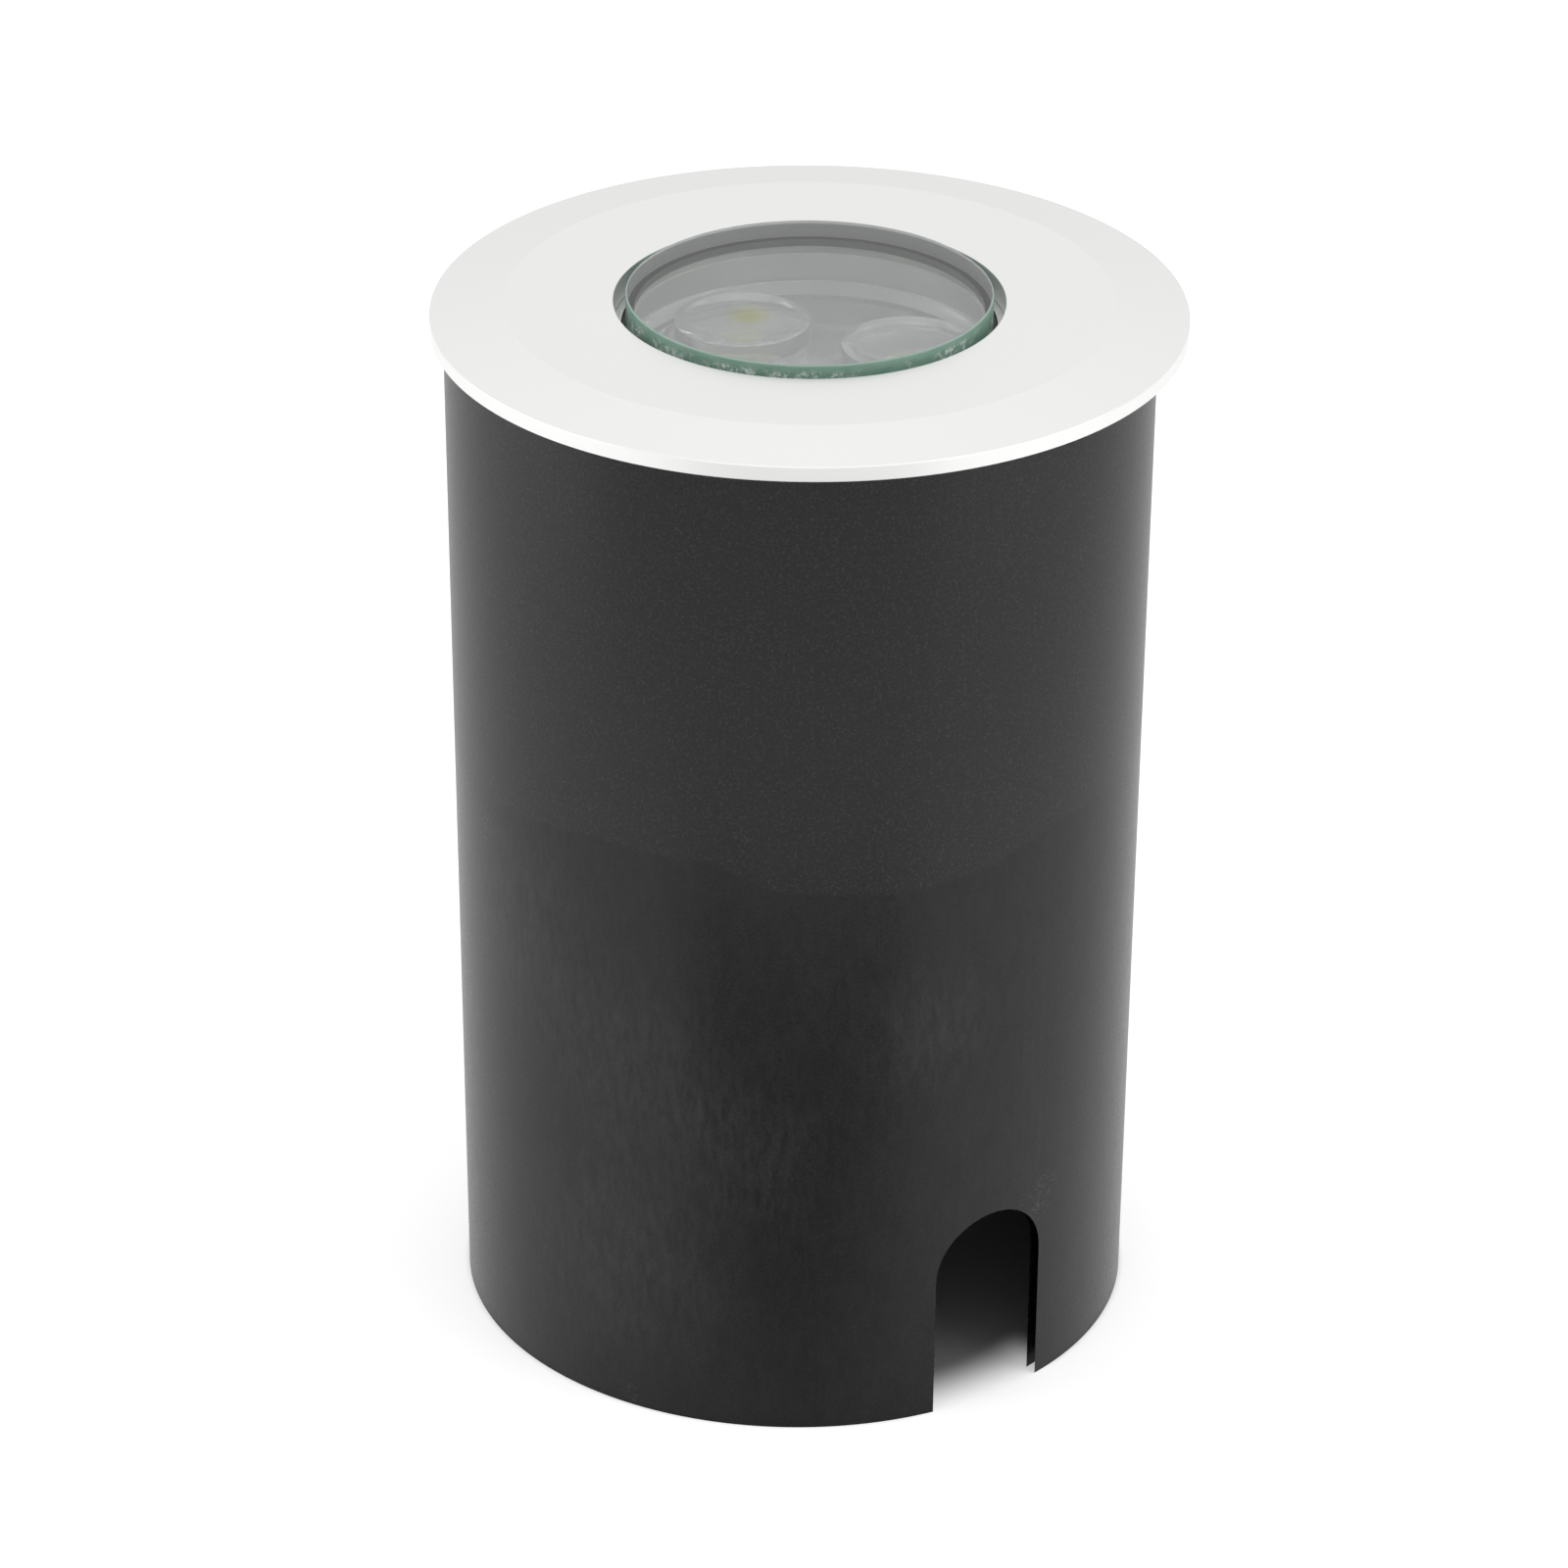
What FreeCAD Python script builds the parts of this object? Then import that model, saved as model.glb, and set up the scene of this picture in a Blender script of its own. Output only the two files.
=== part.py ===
import FreeCAD, Part
import math
import os
from types import SimpleNamespace

import Sketcher
from FreeCAD import Placement, Rotation, Vector

# In-ground well light.  Millimetres, +Z up.  The origin is on the lamp's own axis, at the level of
# the sleeve's foot.  The two cable slots of the sleeve face -Y and +Y.

SIZES = [
    # alias, value, what it sets
    ("sleeve_height", 157.0, "foot to rim of the plastic sleeve"),
    ("sleeve_top_radius", 51.8, "outside of the sleeve at its rim"),
    ("sleeve_foot_radius", 50.4, "outside of the sleeve at its foot"),
    ("sleeve_wall", 2.0, "sleeve wall"),
    ("sleeve_shift_x", -1.03, "where the loose sleeve stands under the lamp"),
    ("sleeve_shift_y", 0.73, "where the loose sleeve stands under the lamp"),
    ("slot_width", 19.0, "cable slot, between its straight sides"),
    ("slot_height", 32.0, "cable slot, foot to crown of its arch"),
    ("cut_margin", 2.0, "how far a cutting outline runs past the face it opens"),
    ("ring_radius", 55.0, "front ring, outside"),
    ("rim_height", 2.2, "front ring, height of its outer edge"),
    ("crease_radius", 44.3, "front ring, where the flat zone ends and the slope starts"),
    ("crown_height", 1.6, "front ring, flat zone above the outer edge"),
    ("glass_gap", 1.8, "front ring, its hole round the glass"),
    ("edge_break", 0.25, "broken edges of the turned parts"),
    ("glass_radius", 26.6, "front glass"),
    ("glass_thickness", 8.0, "front glass"),
    ("glass_proud", 1.2, "front glass above the ring's flat zone"),
    ("glass_arris", 0.4, "ground edge of the glass"),
    ("gasket_thickness", 1.1, "silicone under the glass"),
    ("gasket_lip", 0.5, "silicone wall round the glass"),
    ("gasket_lip_height", 2.6, "silicone wall round the glass, above its underside"),
    ("seat_width", 1.2, "ledge that carries the glass"),
    ("seat_height", 1.2, "thickness of that ledge"),
    ("slip_gap", 0.1, "gap of pieces that slip into each other"),
    ("flange_gap", 0.34, "rim of the flange to the sleeve, on the side where the sleeve stands nearer"),
    ("flange_thickness", 4.0, "flange that carries ring and glass"),
    ("hub_wall", 4.6, "threaded hub of the flange, from the window's bore to its outside"),
    ("flange_seal_groove", 1.8, "round seal under the flange, width of its groove"),
    ("flange_seal_depth", 1.5, "round seal under the flange, depth of its groove"),
    ("housing_radius", 37.0, "housing barrel, outside"),
    ("housing_wall", 5.5, "housing barrel, wall round its bore"),
    ("housing_length", 91.0, "housing barrel below the flange"),
    ("window_depth", 7.4, "underside of the glass to the lens rim"),
    ("window_lap", 0.8, "lens rim outside the edge of the window's bore"),
    ("fin_count", 18, "cooling fins"),
    ("fin_depth", 5.0, "fins, outwards from the barrel"),
    ("fin_thickness", 2.0, "fins"),
    ("fin_root", 0.5, "fins, how far they start inside the barrel's skin"),
    ("fin_length", 69.0, "fins, downwards from the flange"),
    ("lens_shoulder", 3.0, "step in the housing's bore that the heat disc stops at"),
    ("lens_rim_width", 1.6, "raised rim of the lens moulding"),
    ("lens_rim_rise", 2.0, "raised rim above the lens floor"),
    ("lens_floor", 2.0, "floor of the lens moulding"),
    ("cell_margin", 1.6, "lens cells to the raised rim"),
    ("cell_radius", 10.0, "lens cell"),
    ("cell_rise", 0.6, "lens cell above the raised rim"),
    ("cell_edge", 1.2, "width of the edge round the cell's dish"),
    ("cell_dish", 1.0, "depth of the cell's dish"),
    ("cell_depth", 10.0, "lens cell, its top to its foot"),
    ("cell_foot_radius", 5.0, "foot of the cell's cone"),
    ("cavity_radius", 3.7, "pocket over the light-emitting chip"),
    ("cavity_depth", 4.0, "pocket over the light-emitting chip"),
    ("lens_turn", 95.6, "degrees from +X to the first lens cell"),
    ("board_thickness", 1.6, "aluminium-core circuit board"),
    ("board_gap", 0.8, "cone foot above the board"),
    ("chip_width", 3.5, "light-emitting chip"),
    ("chip_height", 0.9, "light-emitting chip"),
    ("dome_radius", 1.5, "phosphor disc on the chip"),
    ("dome_height", 0.4, "phosphor disc on the chip"),
    ("carrier_thickness", 8.0, "heat-spreading disc behind the board"),
    ("lead_hole_radius", 5.0, "hole for the leads through the disc"),
    ("fit_gap", 0.3, "radial gap of pieces put in from below"),
    ("clip_thickness", 1.2, "retaining ring under the disc"),
    ("clip_bite", 1.0, "depth of its groove"),
    ("clip_width", 3.0, "radial width of the retaining ring"),
    ("clip_opening", 9.0, "gap of the retaining ring"),
    ("ear_radius", 2.0, "ears of the retaining ring"),
    ("ear_hole_radius", 0.8, "holes of the ears"),
    ("board_screw_inset", 7.2, "board screws, edge of the board to centre"),
    ("board_screw_length", 6.0, "board screws below their head"),
    ("board_screw_radius", 1.25, "board screws"),
    ("board_head_radius", 2.2, "board screws, head"),
    ("board_head_height", 1.4, "board screws, head"),
    ("ring_screw_radius", 1.5, "ring screws"),
    ("ring_screw_bite", 2.4, "ring screws inside the ring"),
    ("ring_head_radius", 2.75, "ring screws, head"),
    ("ring_head_height", 2.4, "ring screws, head"),
    ("ring_screw_count", 3, "ring screws"),
    ("cover_thickness", 5.0, "rear cover"),
    ("spigot_height", 4.5, "part of the cover inside the housing"),
    ("seal_width", 2.2, "round seal of the cover, groove height"),
    ("seal_bite", 1.6, "round seal of the cover, groove depth"),
    ("cover_screw_inset", 2.7, "cover screws, edge of the cover to centre"),
    ("cover_screw_radius", 1.5, "cover screws"),
    ("cover_screw_bite", 9.0, "cover screws inside the housing"),
    ("cover_head_radius", 2.6, "cover screws, head"),
    ("cover_head_height", 2.6, "cover screws, head"),
    ("cover_screw_count", 4, "cover screws"),
    ("tap_depth", 1.5, "tapped holes past the screw's end"),
    ("socket_across", 2.5, "hexagon sockets of the screws, across flats"),
    ("socket_depth", 1.3, "hexagon sockets of the screws"),
    ("boss_radius", 12.0, "boss of the rear cover round the cable gland"),
    ("boss_height", 6.0, "boss of the rear cover"),
    ("post_height", 8.0, "posts that carry the driver"),
    ("post_radius", 2.6, "posts that carry the driver"),
    ("driver_length", 36.0, "driver case along X"),
    ("post_gap", 5.0, "posts, end of the driver case to centre"),
    ("driver_width", 26.0, "driver case along Y"),
    ("driver_height", 32.0, "driver case"),
    ("driver_corner", 3.0, "rounded corners of the driver case"),
    ("driver_edge", 1.0, "rounded top edge of the driver case"),
    ("lug_thickness", 2.0, "fixing lugs of the driver"),
    ("lug_reach", 4.0, "fixing lugs past the post's centre"),
    ("lug_width", 9.0, "fixing lugs of the driver"),
    ("post_screw_radius", 1.25, "screws of the driver"),
    ("post_screw_length", 5.0, "screws of the driver below the lug"),
    ("lead_radius", 0.8, "insulated leads to the board"),
    ("lead_place", 2.4, "leads at the board, axis to centre"),
    ("lead_start", 7.0, "leads at the driver, axis to centre"),
    ("gland_thread_radius", 8.0, "thread of the gland in the cover"),
    ("gland_thread_length", 9.0, "thread of the gland in the cover"),
    ("gland_bore_radius", 4.6, "free bore of the gland"),
    ("gland_across", 22.0, "gland, across flats"),
    ("gland_hex_height", 5.0, "gland, its hexagon"),
    ("gland_neck_radius", 7.6, "gland, neck under the dome nut"),
    ("gland_cup_radius", 6.3, "gland, cup that holds the rubber"),
    ("washer_thickness", 1.0, "washer between gland and boss"),
    ("washer_width", 2.2, "washer between gland and boss"),
    ("rubber_bore_radius", 3.5, "rubber of the gland, bore for the cable"),
    ("rubber_taper", 1.4, "rubber of the gland, cone at its lower end"),
    ("nut_across", 21.0, "dome nut, across flats"),
    ("nut_hex_height", 6.0, "dome nut, its hexagon"),
    ("dome_nut_height", 5.0, "dome nut, its cone"),
    ("dome_mouth_radius", 4.4, "dome nut, mouth for the cable"),
    ("dome_lip", 2.0, "dome nut, wall at its mouth"),
]

HEX_SIDE = 1.0 / math.sqrt(3.0)

doc = FreeCAD.newDocument("well_light")


class Size:
    """A length that knows its number and its formula in the cells of the sheet."""

    def __init__(self, value, formula):
        self.value = value
        self.formula = formula

    @staticmethod
    def of(thing):
        return thing if isinstance(thing, Size) else Size(float(thing), repr(float(thing)))

    def __add__(self, other):
        other = Size.of(other)
        return Size(self.value + other.value, f"({self.formula} + {other.formula})")

    def __sub__(self, other):
        other = Size.of(other)
        return Size(self.value - other.value, f"({self.formula} - {other.formula})")

    def __mul__(self, factor):
        return Size(self.value * factor, f"({self.formula} * {factor!r})")

    def __neg__(self):
        return Size(-self.value, f"(0 - {self.formula})")

    @staticmethod
    def diagonal(x, y):
        return Size(math.hypot(x.value, y.value), f"sqrt({x.formula} ^ 2 + {y.formula} ^ 2)")


def make_sheet():
    """The driving dimensions, one row each, and a namespace of their Size objects."""
    sheet = doc.addObject("Spreadsheet::Sheet", "Sizes")
    named = {}
    for row, (alias, value, note) in enumerate(SIZES, start=1):
        sheet.set(f"A{row}", alias)
        sheet.set(f"B{row}", str(value))
        sheet.set(f"C{row}", note)
        sheet.setAlias(f"B{row}", alias)
        named[alias] = Size(float(value), f"Sizes.{alias}")
    doc.recompute()
    return SimpleNamespace(**named)


s = make_sheet()
ZERO = Size.of(0)

# Heights above the sleeve's foot, from the top of the lamp downwards.
rim_top = s.sleeve_height + s.rim_height
ring_top = rim_top + s.crown_height
glass_top = ring_top + s.glass_proud
glass_foot = glass_top - s.glass_thickness
seat_top = glass_foot - s.gasket_thickness
flange_foot = s.sleeve_height - s.flange_thickness
lens_top = glass_foot - s.window_depth
cell_top = lens_top + s.cell_rise
lens_floor_top = lens_top - s.lens_rim_rise
cell_foot = cell_top - s.cell_depth
board_top = cell_foot - s.board_gap
board_foot = board_top - s.board_thickness
carrier_foot = board_foot - s.carrier_thickness
clip_foot = carrier_foot - s.clip_thickness
housing_foot = flange_foot - s.housing_length
cover_foot = housing_foot - s.cover_thickness
spigot_top = housing_foot + s.spigot_height
boss_foot = cover_foot - s.boss_height
washer_foot = boss_foot - s.washer_thickness
gland_hex_foot = washer_foot - s.gland_hex_height
nut_top = gland_hex_foot - s.fit_gap
nut_hex_foot = nut_top - s.nut_hex_height
gland_neck_foot = nut_hex_foot + s.fit_gap
nut_foot = nut_hex_foot - s.dome_nut_height
lug_foot = spigot_top + s.post_height
lug_top = lug_foot + s.lug_thickness
driver_top = lug_foot + s.driver_height

# Radii shared by pieces that fit each other, from the glass and from the housing's barrel.
seat_radius = s.glass_radius - s.seat_width
recess_radius = s.glass_radius + s.slip_gap + s.gasket_lip + s.slip_gap
ring_hole_radius = s.glass_radius + s.glass_gap
fin_radius = s.housing_radius + s.fin_depth
bore_radius = s.housing_radius - s.housing_wall
insert_radius = bore_radius - s.fit_gap
lens_bore_radius = bore_radius - s.lens_shoulder
lens_radius = lens_bore_radius - s.fit_gap
window_radius = lens_radius - s.window_lap
hub_radius = window_radius + s.hub_wall
hub_bore_radius = hub_radius + s.slip_gap
sleeve_shift = Size.diagonal(s.sleeve_shift_x, s.sleeve_shift_y)
flange_radius = s.sleeve_top_radius - s.sleeve_wall - sleeve_shift - s.flange_gap

# Distances from the axis to what stands round it.
cell_place = lens_radius - s.lens_rim_width - s.cell_margin - s.cell_radius
board_screw_place = lens_radius - s.board_screw_inset
ring_screw_place = (s.housing_radius + flange_radius) * 0.5
cover_screw_place = s.housing_radius - s.cover_screw_inset
post_place = s.driver_length * 0.5 + s.post_gap


def origin_feature(body, role):
    return next(item for item in body.Origin.OriginFeatures if item.Role == role)


def new_body(label, turned=False):
    """An empty body; a turned one is rotated with the lens cells."""
    body = doc.addObject("PartDesign::Body", label)
    body.Label = label
    body.AllowCompound = True
    if turned:
        place_turned(body)
    return body


def place_turned(thing):
    """Rotate a sub-part about the lamp's axis to where the lens cells stand."""
    thing.Placement = Placement(Vector(), Rotation(Vector(0, 0, 1), s.lens_turn.value))


def new_sketch(body, name, plane, height=None, turn=0.0):
    """A sketch on one of the body's own planes, raised to a height and turned about Z."""
    sketch = body.newObject("Sketcher::SketchObject", name)
    sketch.AttachmentSupport = (origin_feature(body, plane), [""])
    sketch.MapMode = "FlatFace"
    if height is not None:
        lift = Vector(0, 0, height.value)
        sketch.AttachmentOffset = Placement(lift, Rotation(Vector(0, 0, 1), turn))
        sketch.setExpression("AttachmentOffset.Base.z", height.formula)
    return sketch


def hold(sketch, kind, curve, end, size):
    """Tie one coordinate of a curve's end to the sheet."""
    axis = -2 if kind == "DistanceX" else -1
    if size.value == 0:
        sketch.addConstraint(Sketcher.Constraint("PointOnObject", curve, end, axis))
        return
    index = sketch.addConstraint(Sketcher.Constraint(kind, -1, 1, curve, end, size.value))
    sketch.setExpression(f"Constraints[{index}]", size.formula)


def draw_outline(sketch, corners):
    """A closed outline of straight lines whose corners are all tied to the sheet."""
    corners = [(Size.of(x), Size.of(y)) for x, y in corners]
    first = sketch.GeometryCount
    count = len(corners)
    points = [Vector(x.value, y.value, 0) for x, y in corners]
    for index in range(count):
        sketch.addGeometry(Part.LineSegment(points[index], points[(index + 1) % count]))
    for index, (x, y) in enumerate(corners):
        following = first + (index + 1) % count
        sketch.addConstraint(Sketcher.Constraint("Coincident", first + index, 2, following, 1))
        hold(sketch, "DistanceX", first + index, 1, x)
        hold(sketch, "DistanceY", first + index, 1, y)


def draw_circle(sketch, x, y, radius):
    """A circle whose centre and radius are tied to the sheet."""
    x = Size.of(x)
    y = Size.of(y)
    circle = Part.Circle(Vector(x.value, y.value, 0), Vector(0, 0, 1), radius.value)
    curve = sketch.addGeometry(circle)
    index = sketch.addConstraint(Sketcher.Constraint("Radius", curve, radius.value))
    sketch.setExpression(f"Constraints[{index}]", radius.formula)
    hold(sketch, "DistanceX", curve, 3, x)
    hold(sketch, "DistanceY", curve, 3, y)


def hexagon(across):
    """Corners of a hexagon with two flats square to Y."""
    flat = across * 0.5
    point = across * HEX_SIDE
    side = across * (HEX_SIDE / 2)
    return [(point, 0), (side, flat), (-side, flat), (-point, 0), (-side, -flat), (side, -flat)]


def require_change(body, feature, before, grows):
    """Every feature has to add or take away material."""
    doc.recompute()
    change = body.Shape.Volume - before
    if change * (1 if grows else -1) <= 1e-6:
        raise RuntimeError(f"{body.Label}: {feature.Name} changes the volume by {change:.6f}")


def body_volume(body):
    doc.recompute()
    return 0.0 if body.Shape.isNull() else body.Shape.Volume


def revolve(body, name, corners, axis_x=None, cut=False):
    """Turn an outline of (radius, height) corners about Z, or about a line at axis_x."""
    before = body_volume(body)
    sketch = new_sketch(body, name + "Outline", "XZ_Plane")
    shift = ZERO if axis_x is None else axis_x
    draw_outline(sketch, [(shift + radius, Size.of(height)) for radius, height in corners])
    axis = "V_Axis"
    if axis_x is not None:
        line = Part.LineSegment(Vector(axis_x.value, 0, 0), Vector(axis_x.value, 1, 0))
        curve = sketch.addGeometry(line, True)
        hold(sketch, "DistanceX", curve, 1, axis_x)
        hold(sketch, "DistanceY", curve, 1, ZERO)
        hold(sketch, "DistanceX", curve, 2, axis_x)
        hold(sketch, "DistanceY", curve, 2, Size.of(1))
        axis = "Axis0"
    kind = "PartDesign::Groove" if cut else "PartDesign::Revolution"
    feature = body.newObject(kind, name)
    feature.Profile = sketch
    feature.ReferenceAxis = (sketch, [axis])
    feature.Angle = 360
    body.Tip = feature
    require_change(body, feature, before, not cut)
    return feature


def extrude(body, name, draw, height, length, up=True, cut=False, turn=0.0):
    """Pad or pocket what draw() puts in a level sketch, upwards or downwards."""
    before = body_volume(body)
    sketch = new_sketch(body, name + "Outline", "XY_Plane", height, turn)
    draw(sketch)
    feature = body.newObject("PartDesign::Pocket" if cut else "PartDesign::Pad", name)
    feature.Profile = sketch
    feature.Length = length.value
    feature.setExpression("Length", length.formula)
    feature.Reversed = up if cut else not up
    body.Tip = feature
    require_change(body, feature, before, not cut)
    return feature


def repeat_round(body, feature, count, grows=True):
    """Copies of a feature, evenly spaced about the lamp's axis."""
    before = body_volume(body)
    pattern = body.newObject("PartDesign::PolarPattern", feature.Name + "Round")
    pattern.Originals = [feature]
    pattern.Axis = (origin_feature(body, "Z_Axis"), [""])
    pattern.Angle = 360
    pattern.Occurrences = int(count.value)
    pattern.setExpression("Occurrences", count.formula)
    body.Tip = pattern
    require_change(body, pattern, before, grows)


def drill(body, name, place, radius, height, depth, count, up=True):
    """A ring of round holes that start at a height, at a distance from the axis."""
    hole = extrude(body, name, lambda k: draw_circle(k, place, 0, radius), height, depth, up, cut=True)
    repeat_round(body, hole, count, grows=False)


def screw_ring(label, place, count, seat, shank, head, up, turned=False):
    """Cap screws round the axis: head seated at a height, shank pointing up or down."""
    shank_radius, shank_length = shank
    head_radius, head_height = head
    body = new_body(label, turned)
    away = -1 if up else 1
    tip = seat - shank_length * away
    face = seat + head_height * away
    socket_floor = seat + (head_height - s.socket_depth) * away
    socket = s.socket_across * 0.5
    corners = [
        (0, tip),
        (shank_radius, tip),
        (shank_radius, seat),
        (head_radius, seat),
        (head_radius, face - s.edge_break * away),
        (head_radius - s.edge_break, face),
        (socket, face),
        (socket, socket_floor),
        (0, socket_floor),
    ]
    screw = revolve(body, label + "_turned", corners, axis_x=place)
    repeat_round(body, screw, count)
    return body


def make_sleeve():
    """Tapered open tube with an arched cable slot on each side of its foot."""
    body = new_body("mounting_sleeve")
    revolve(body, "Tube", [
        (s.sleeve_foot_radius - s.sleeve_wall, 0),
        (s.sleeve_foot_radius, 0),
        (s.sleeve_top_radius, s.sleeve_height),
        (s.sleeve_top_radius - s.sleeve_wall, s.sleeve_height),
    ])
    before = body_volume(body)
    sketch = new_sketch(body, "SlotOutline", "XZ_Plane")
    draw_slot(sketch)
    slot = body.newObject("PartDesign::Pocket", "Slot")
    slot.Profile = sketch
    slot.Type = "ThroughAll"
    slot.SideType = "Symmetric"
    body.Tip = slot
    require_change(body, slot, before, grows=False)
    body.setExpression("Placement.Base.x", s.sleeve_shift_x.formula)
    body.setExpression("Placement.Base.y", s.sleeve_shift_y.formula)


def draw_slot(sketch):
    """Two straight legs under a half-round arch."""
    half = s.slot_width * 0.5
    spring = s.slot_height - half
    low = -s.cut_margin
    right = half.value
    middle = Vector(0, spring.value, 0)
    sketch.addGeometry(Part.LineSegment(Vector(-right, low.value, 0), Vector(right, low.value, 0)))
    sketch.addGeometry(Part.LineSegment(Vector(right, low.value, 0), Vector(right, spring.value, 0)))
    arch = Part.Circle(middle, Vector(0, 0, 1), right)
    sketch.addGeometry(Part.ArcOfCircle(arch, 0, math.pi))
    sketch.addGeometry(Part.LineSegment(Vector(-right, spring.value, 0), Vector(-right, low.value, 0)))
    sketch.addConstraint(Sketcher.Constraint("Coincident", 0, 2, 1, 1))
    sketch.addConstraint(Sketcher.Constraint("Coincident", 1, 2, 2, 1))
    sketch.addConstraint(Sketcher.Constraint("Coincident", 2, 2, 3, 1))
    sketch.addConstraint(Sketcher.Constraint("Coincident", 3, 2, 0, 1))
    hold(sketch, "DistanceX", 0, 1, -half)
    hold(sketch, "DistanceY", 0, 1, low)
    hold(sketch, "DistanceX", 0, 2, half)
    hold(sketch, "DistanceY", 0, 2, low)
    hold(sketch, "DistanceX", 2, 3, ZERO)
    hold(sketch, "DistanceY", 2, 3, spring)
    hold(sketch, "DistanceX", 1, 2, half)
    hold(sketch, "DistanceY", 1, 2, spring)
    hold(sketch, "DistanceY", 2, 2, spring)


def make_front_ring():
    """Turned ring: flat round the glass, then a shallow slope down to a thin upright rim."""
    body = new_body("front_ring")
    chip = s.edge_break
    revolve(body, "Ring", [
        (ring_hole_radius, s.sleeve_height),
        (s.ring_radius - chip, s.sleeve_height),
        (s.ring_radius, s.sleeve_height + chip),
        (s.ring_radius, rim_top - chip),
        (s.ring_radius - chip, rim_top),
        (s.crease_radius, ring_top),
        (ring_hole_radius + chip, ring_top),
        (ring_hole_radius, ring_top - chip),
    ])
    drill(body, "ScrewHole", ring_screw_place, s.ring_screw_radius + s.slip_gap, s.sleeve_height,
          s.ring_screw_bite + s.fit_gap, s.ring_screw_count)


def make_glass():
    """Thick flat disc with a ground edge at both faces."""
    body = new_body("front_glass")
    arris = s.glass_arris
    revolve(body, "Disc", [
        (0, glass_foot),
        (s.glass_radius - arris, glass_foot),
        (s.glass_radius, glass_foot + arris),
        (s.glass_radius, glass_top - arris),
        (s.glass_radius - arris, glass_top),
        (0, glass_top),
    ])


def make_gasket():
    """Silicone under the glass, with a wall that stands up round it."""
    body = new_body("glass_gasket")
    inner = s.glass_radius + s.slip_gap
    outer = inner + s.gasket_lip
    lip_top = glass_foot + s.gasket_lip_height
    revolve(body, "Section", [
        (seat_radius, seat_top),
        (outer, seat_top),
        (outer, lip_top),
        (inner, lip_top),
        (inner, glass_foot),
        (seat_radius, glass_foot),
    ])


def make_flange():
    """Turned flange that carries ring and glass, with a hub that screws into the housing."""
    body = new_body("glass_flange")
    chip = s.edge_break
    seat_foot = seat_top - s.seat_height
    revolve(body, "Plate", [
        (window_radius, lens_top),
        (hub_radius, lens_top),
        (hub_radius, flange_foot),
        (flange_radius, flange_foot),
        (flange_radius, s.sleeve_height - chip),
        (flange_radius - chip, s.sleeve_height),
        (recess_radius, s.sleeve_height),
        (recess_radius, seat_top),
        (seat_radius, seat_top),
        (seat_radius, seat_foot),
        (window_radius, seat_foot),
    ])
    drill(body, "RingScrewHole", ring_screw_place, s.ring_screw_radius + s.slip_gap, flange_foot,
          s.flange_thickness, s.ring_screw_count)


def make_flange_seal():
    """Rubber ring in the housing's top face, pressed down by the flange."""
    section = (s.flange_seal_depth - s.slip_gap) * 0.5
    make_round_seal("flange_seal", (hub_bore_radius + s.housing_radius) * 0.5,
                    section, flange_foot - s.flange_seal_depth * 0.5)


def make_round_seal(label, middle, section, level):
    ring = doc.addObject("Part::Torus", label)
    ring.Label = label
    ring.setExpression("Radius1", middle.formula)
    ring.setExpression("Radius2", section.formula)
    ring.setExpression("Placement.Base.z", level.formula)


def make_housing():
    """Finned barrel with a stepped bore from below and a threaded mouth for the flange's hub."""
    body = new_body("lamp_housing")
    groove = bore_radius + s.clip_bite
    seal_middle = (hub_bore_radius + s.housing_radius) * 0.5
    seal_half = s.flange_seal_groove * 0.5
    seal_floor = flange_foot - s.flange_seal_depth
    revolve(body, "Barrel", [
        (bore_radius, housing_foot),
        (s.housing_radius, housing_foot),
        (s.housing_radius, flange_foot),
        (seal_middle + seal_half, flange_foot),
        (seal_middle + seal_half, seal_floor),
        (seal_middle - seal_half, seal_floor),
        (seal_middle - seal_half, flange_foot),
        (hub_bore_radius, flange_foot),
        (hub_bore_radius, lens_top),
        (lens_bore_radius, lens_top),
        (lens_bore_radius, board_foot),
        (bore_radius, board_foot),
        (bore_radius, carrier_foot),
        (groove, carrier_foot),
        (groove, clip_foot - s.slip_gap),
        (bore_radius, clip_foot - s.slip_gap),
    ])
    fin_foot = flange_foot - s.fin_length
    half = s.fin_thickness * 0.5
    root = s.housing_radius - s.fin_root
    outline = [(root, -half), (fin_radius, -half), (fin_radius, half), (root, half)]
    half_step = 180.0 / s.fin_count.value
    fin = extrude(body, "Fin", lambda k: draw_outline(k, outline), fin_foot, s.fin_length, turn=half_step)
    repeat_round(body, fin, s.fin_count)
    drill(body, "CoverHole", cover_screw_place, s.cover_screw_radius + s.slip_gap, housing_foot,
          s.cover_screw_bite + s.tap_depth, s.cover_screw_count)


def make_lens():
    """Clear moulding: shallow dish with a raised rim and skirt, and three collimating cells."""
    body = new_body("triple_lens", turned=True)
    inner = lens_radius - s.lens_rim_width
    floor_foot = lens_floor_top - s.lens_floor
    revolve(body, "Dish", [
        (0, floor_foot),
        (inner, floor_foot),
        (inner, board_top),
        (lens_radius, board_top),
        (lens_radius, lens_top),
        (inner, lens_top),
        (inner, lens_floor_top),
        (0, lens_floor_top),
    ])
    dish_radius = s.cell_radius - s.cell_edge
    cell = revolve(body, "Cell", [
        (0, cell_foot + s.cavity_depth),
        (s.cavity_radius, cell_foot + s.cavity_depth),
        (s.cavity_radius, cell_foot),
        (s.cell_foot_radius, cell_foot),
        (s.cell_radius - s.edge_break, floor_foot),
        (s.cell_radius, lens_floor_top),
        (s.cell_radius, cell_top - s.edge_break),
        (s.cell_radius - s.edge_break, cell_top),
        (dish_radius, cell_top),
        (dish_radius - s.edge_break, cell_top - s.cell_dish),
        (0, cell_top - s.cell_dish),
    ], axis_x=cell_place)
    repeat_round(body, cell, CELLS)


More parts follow.
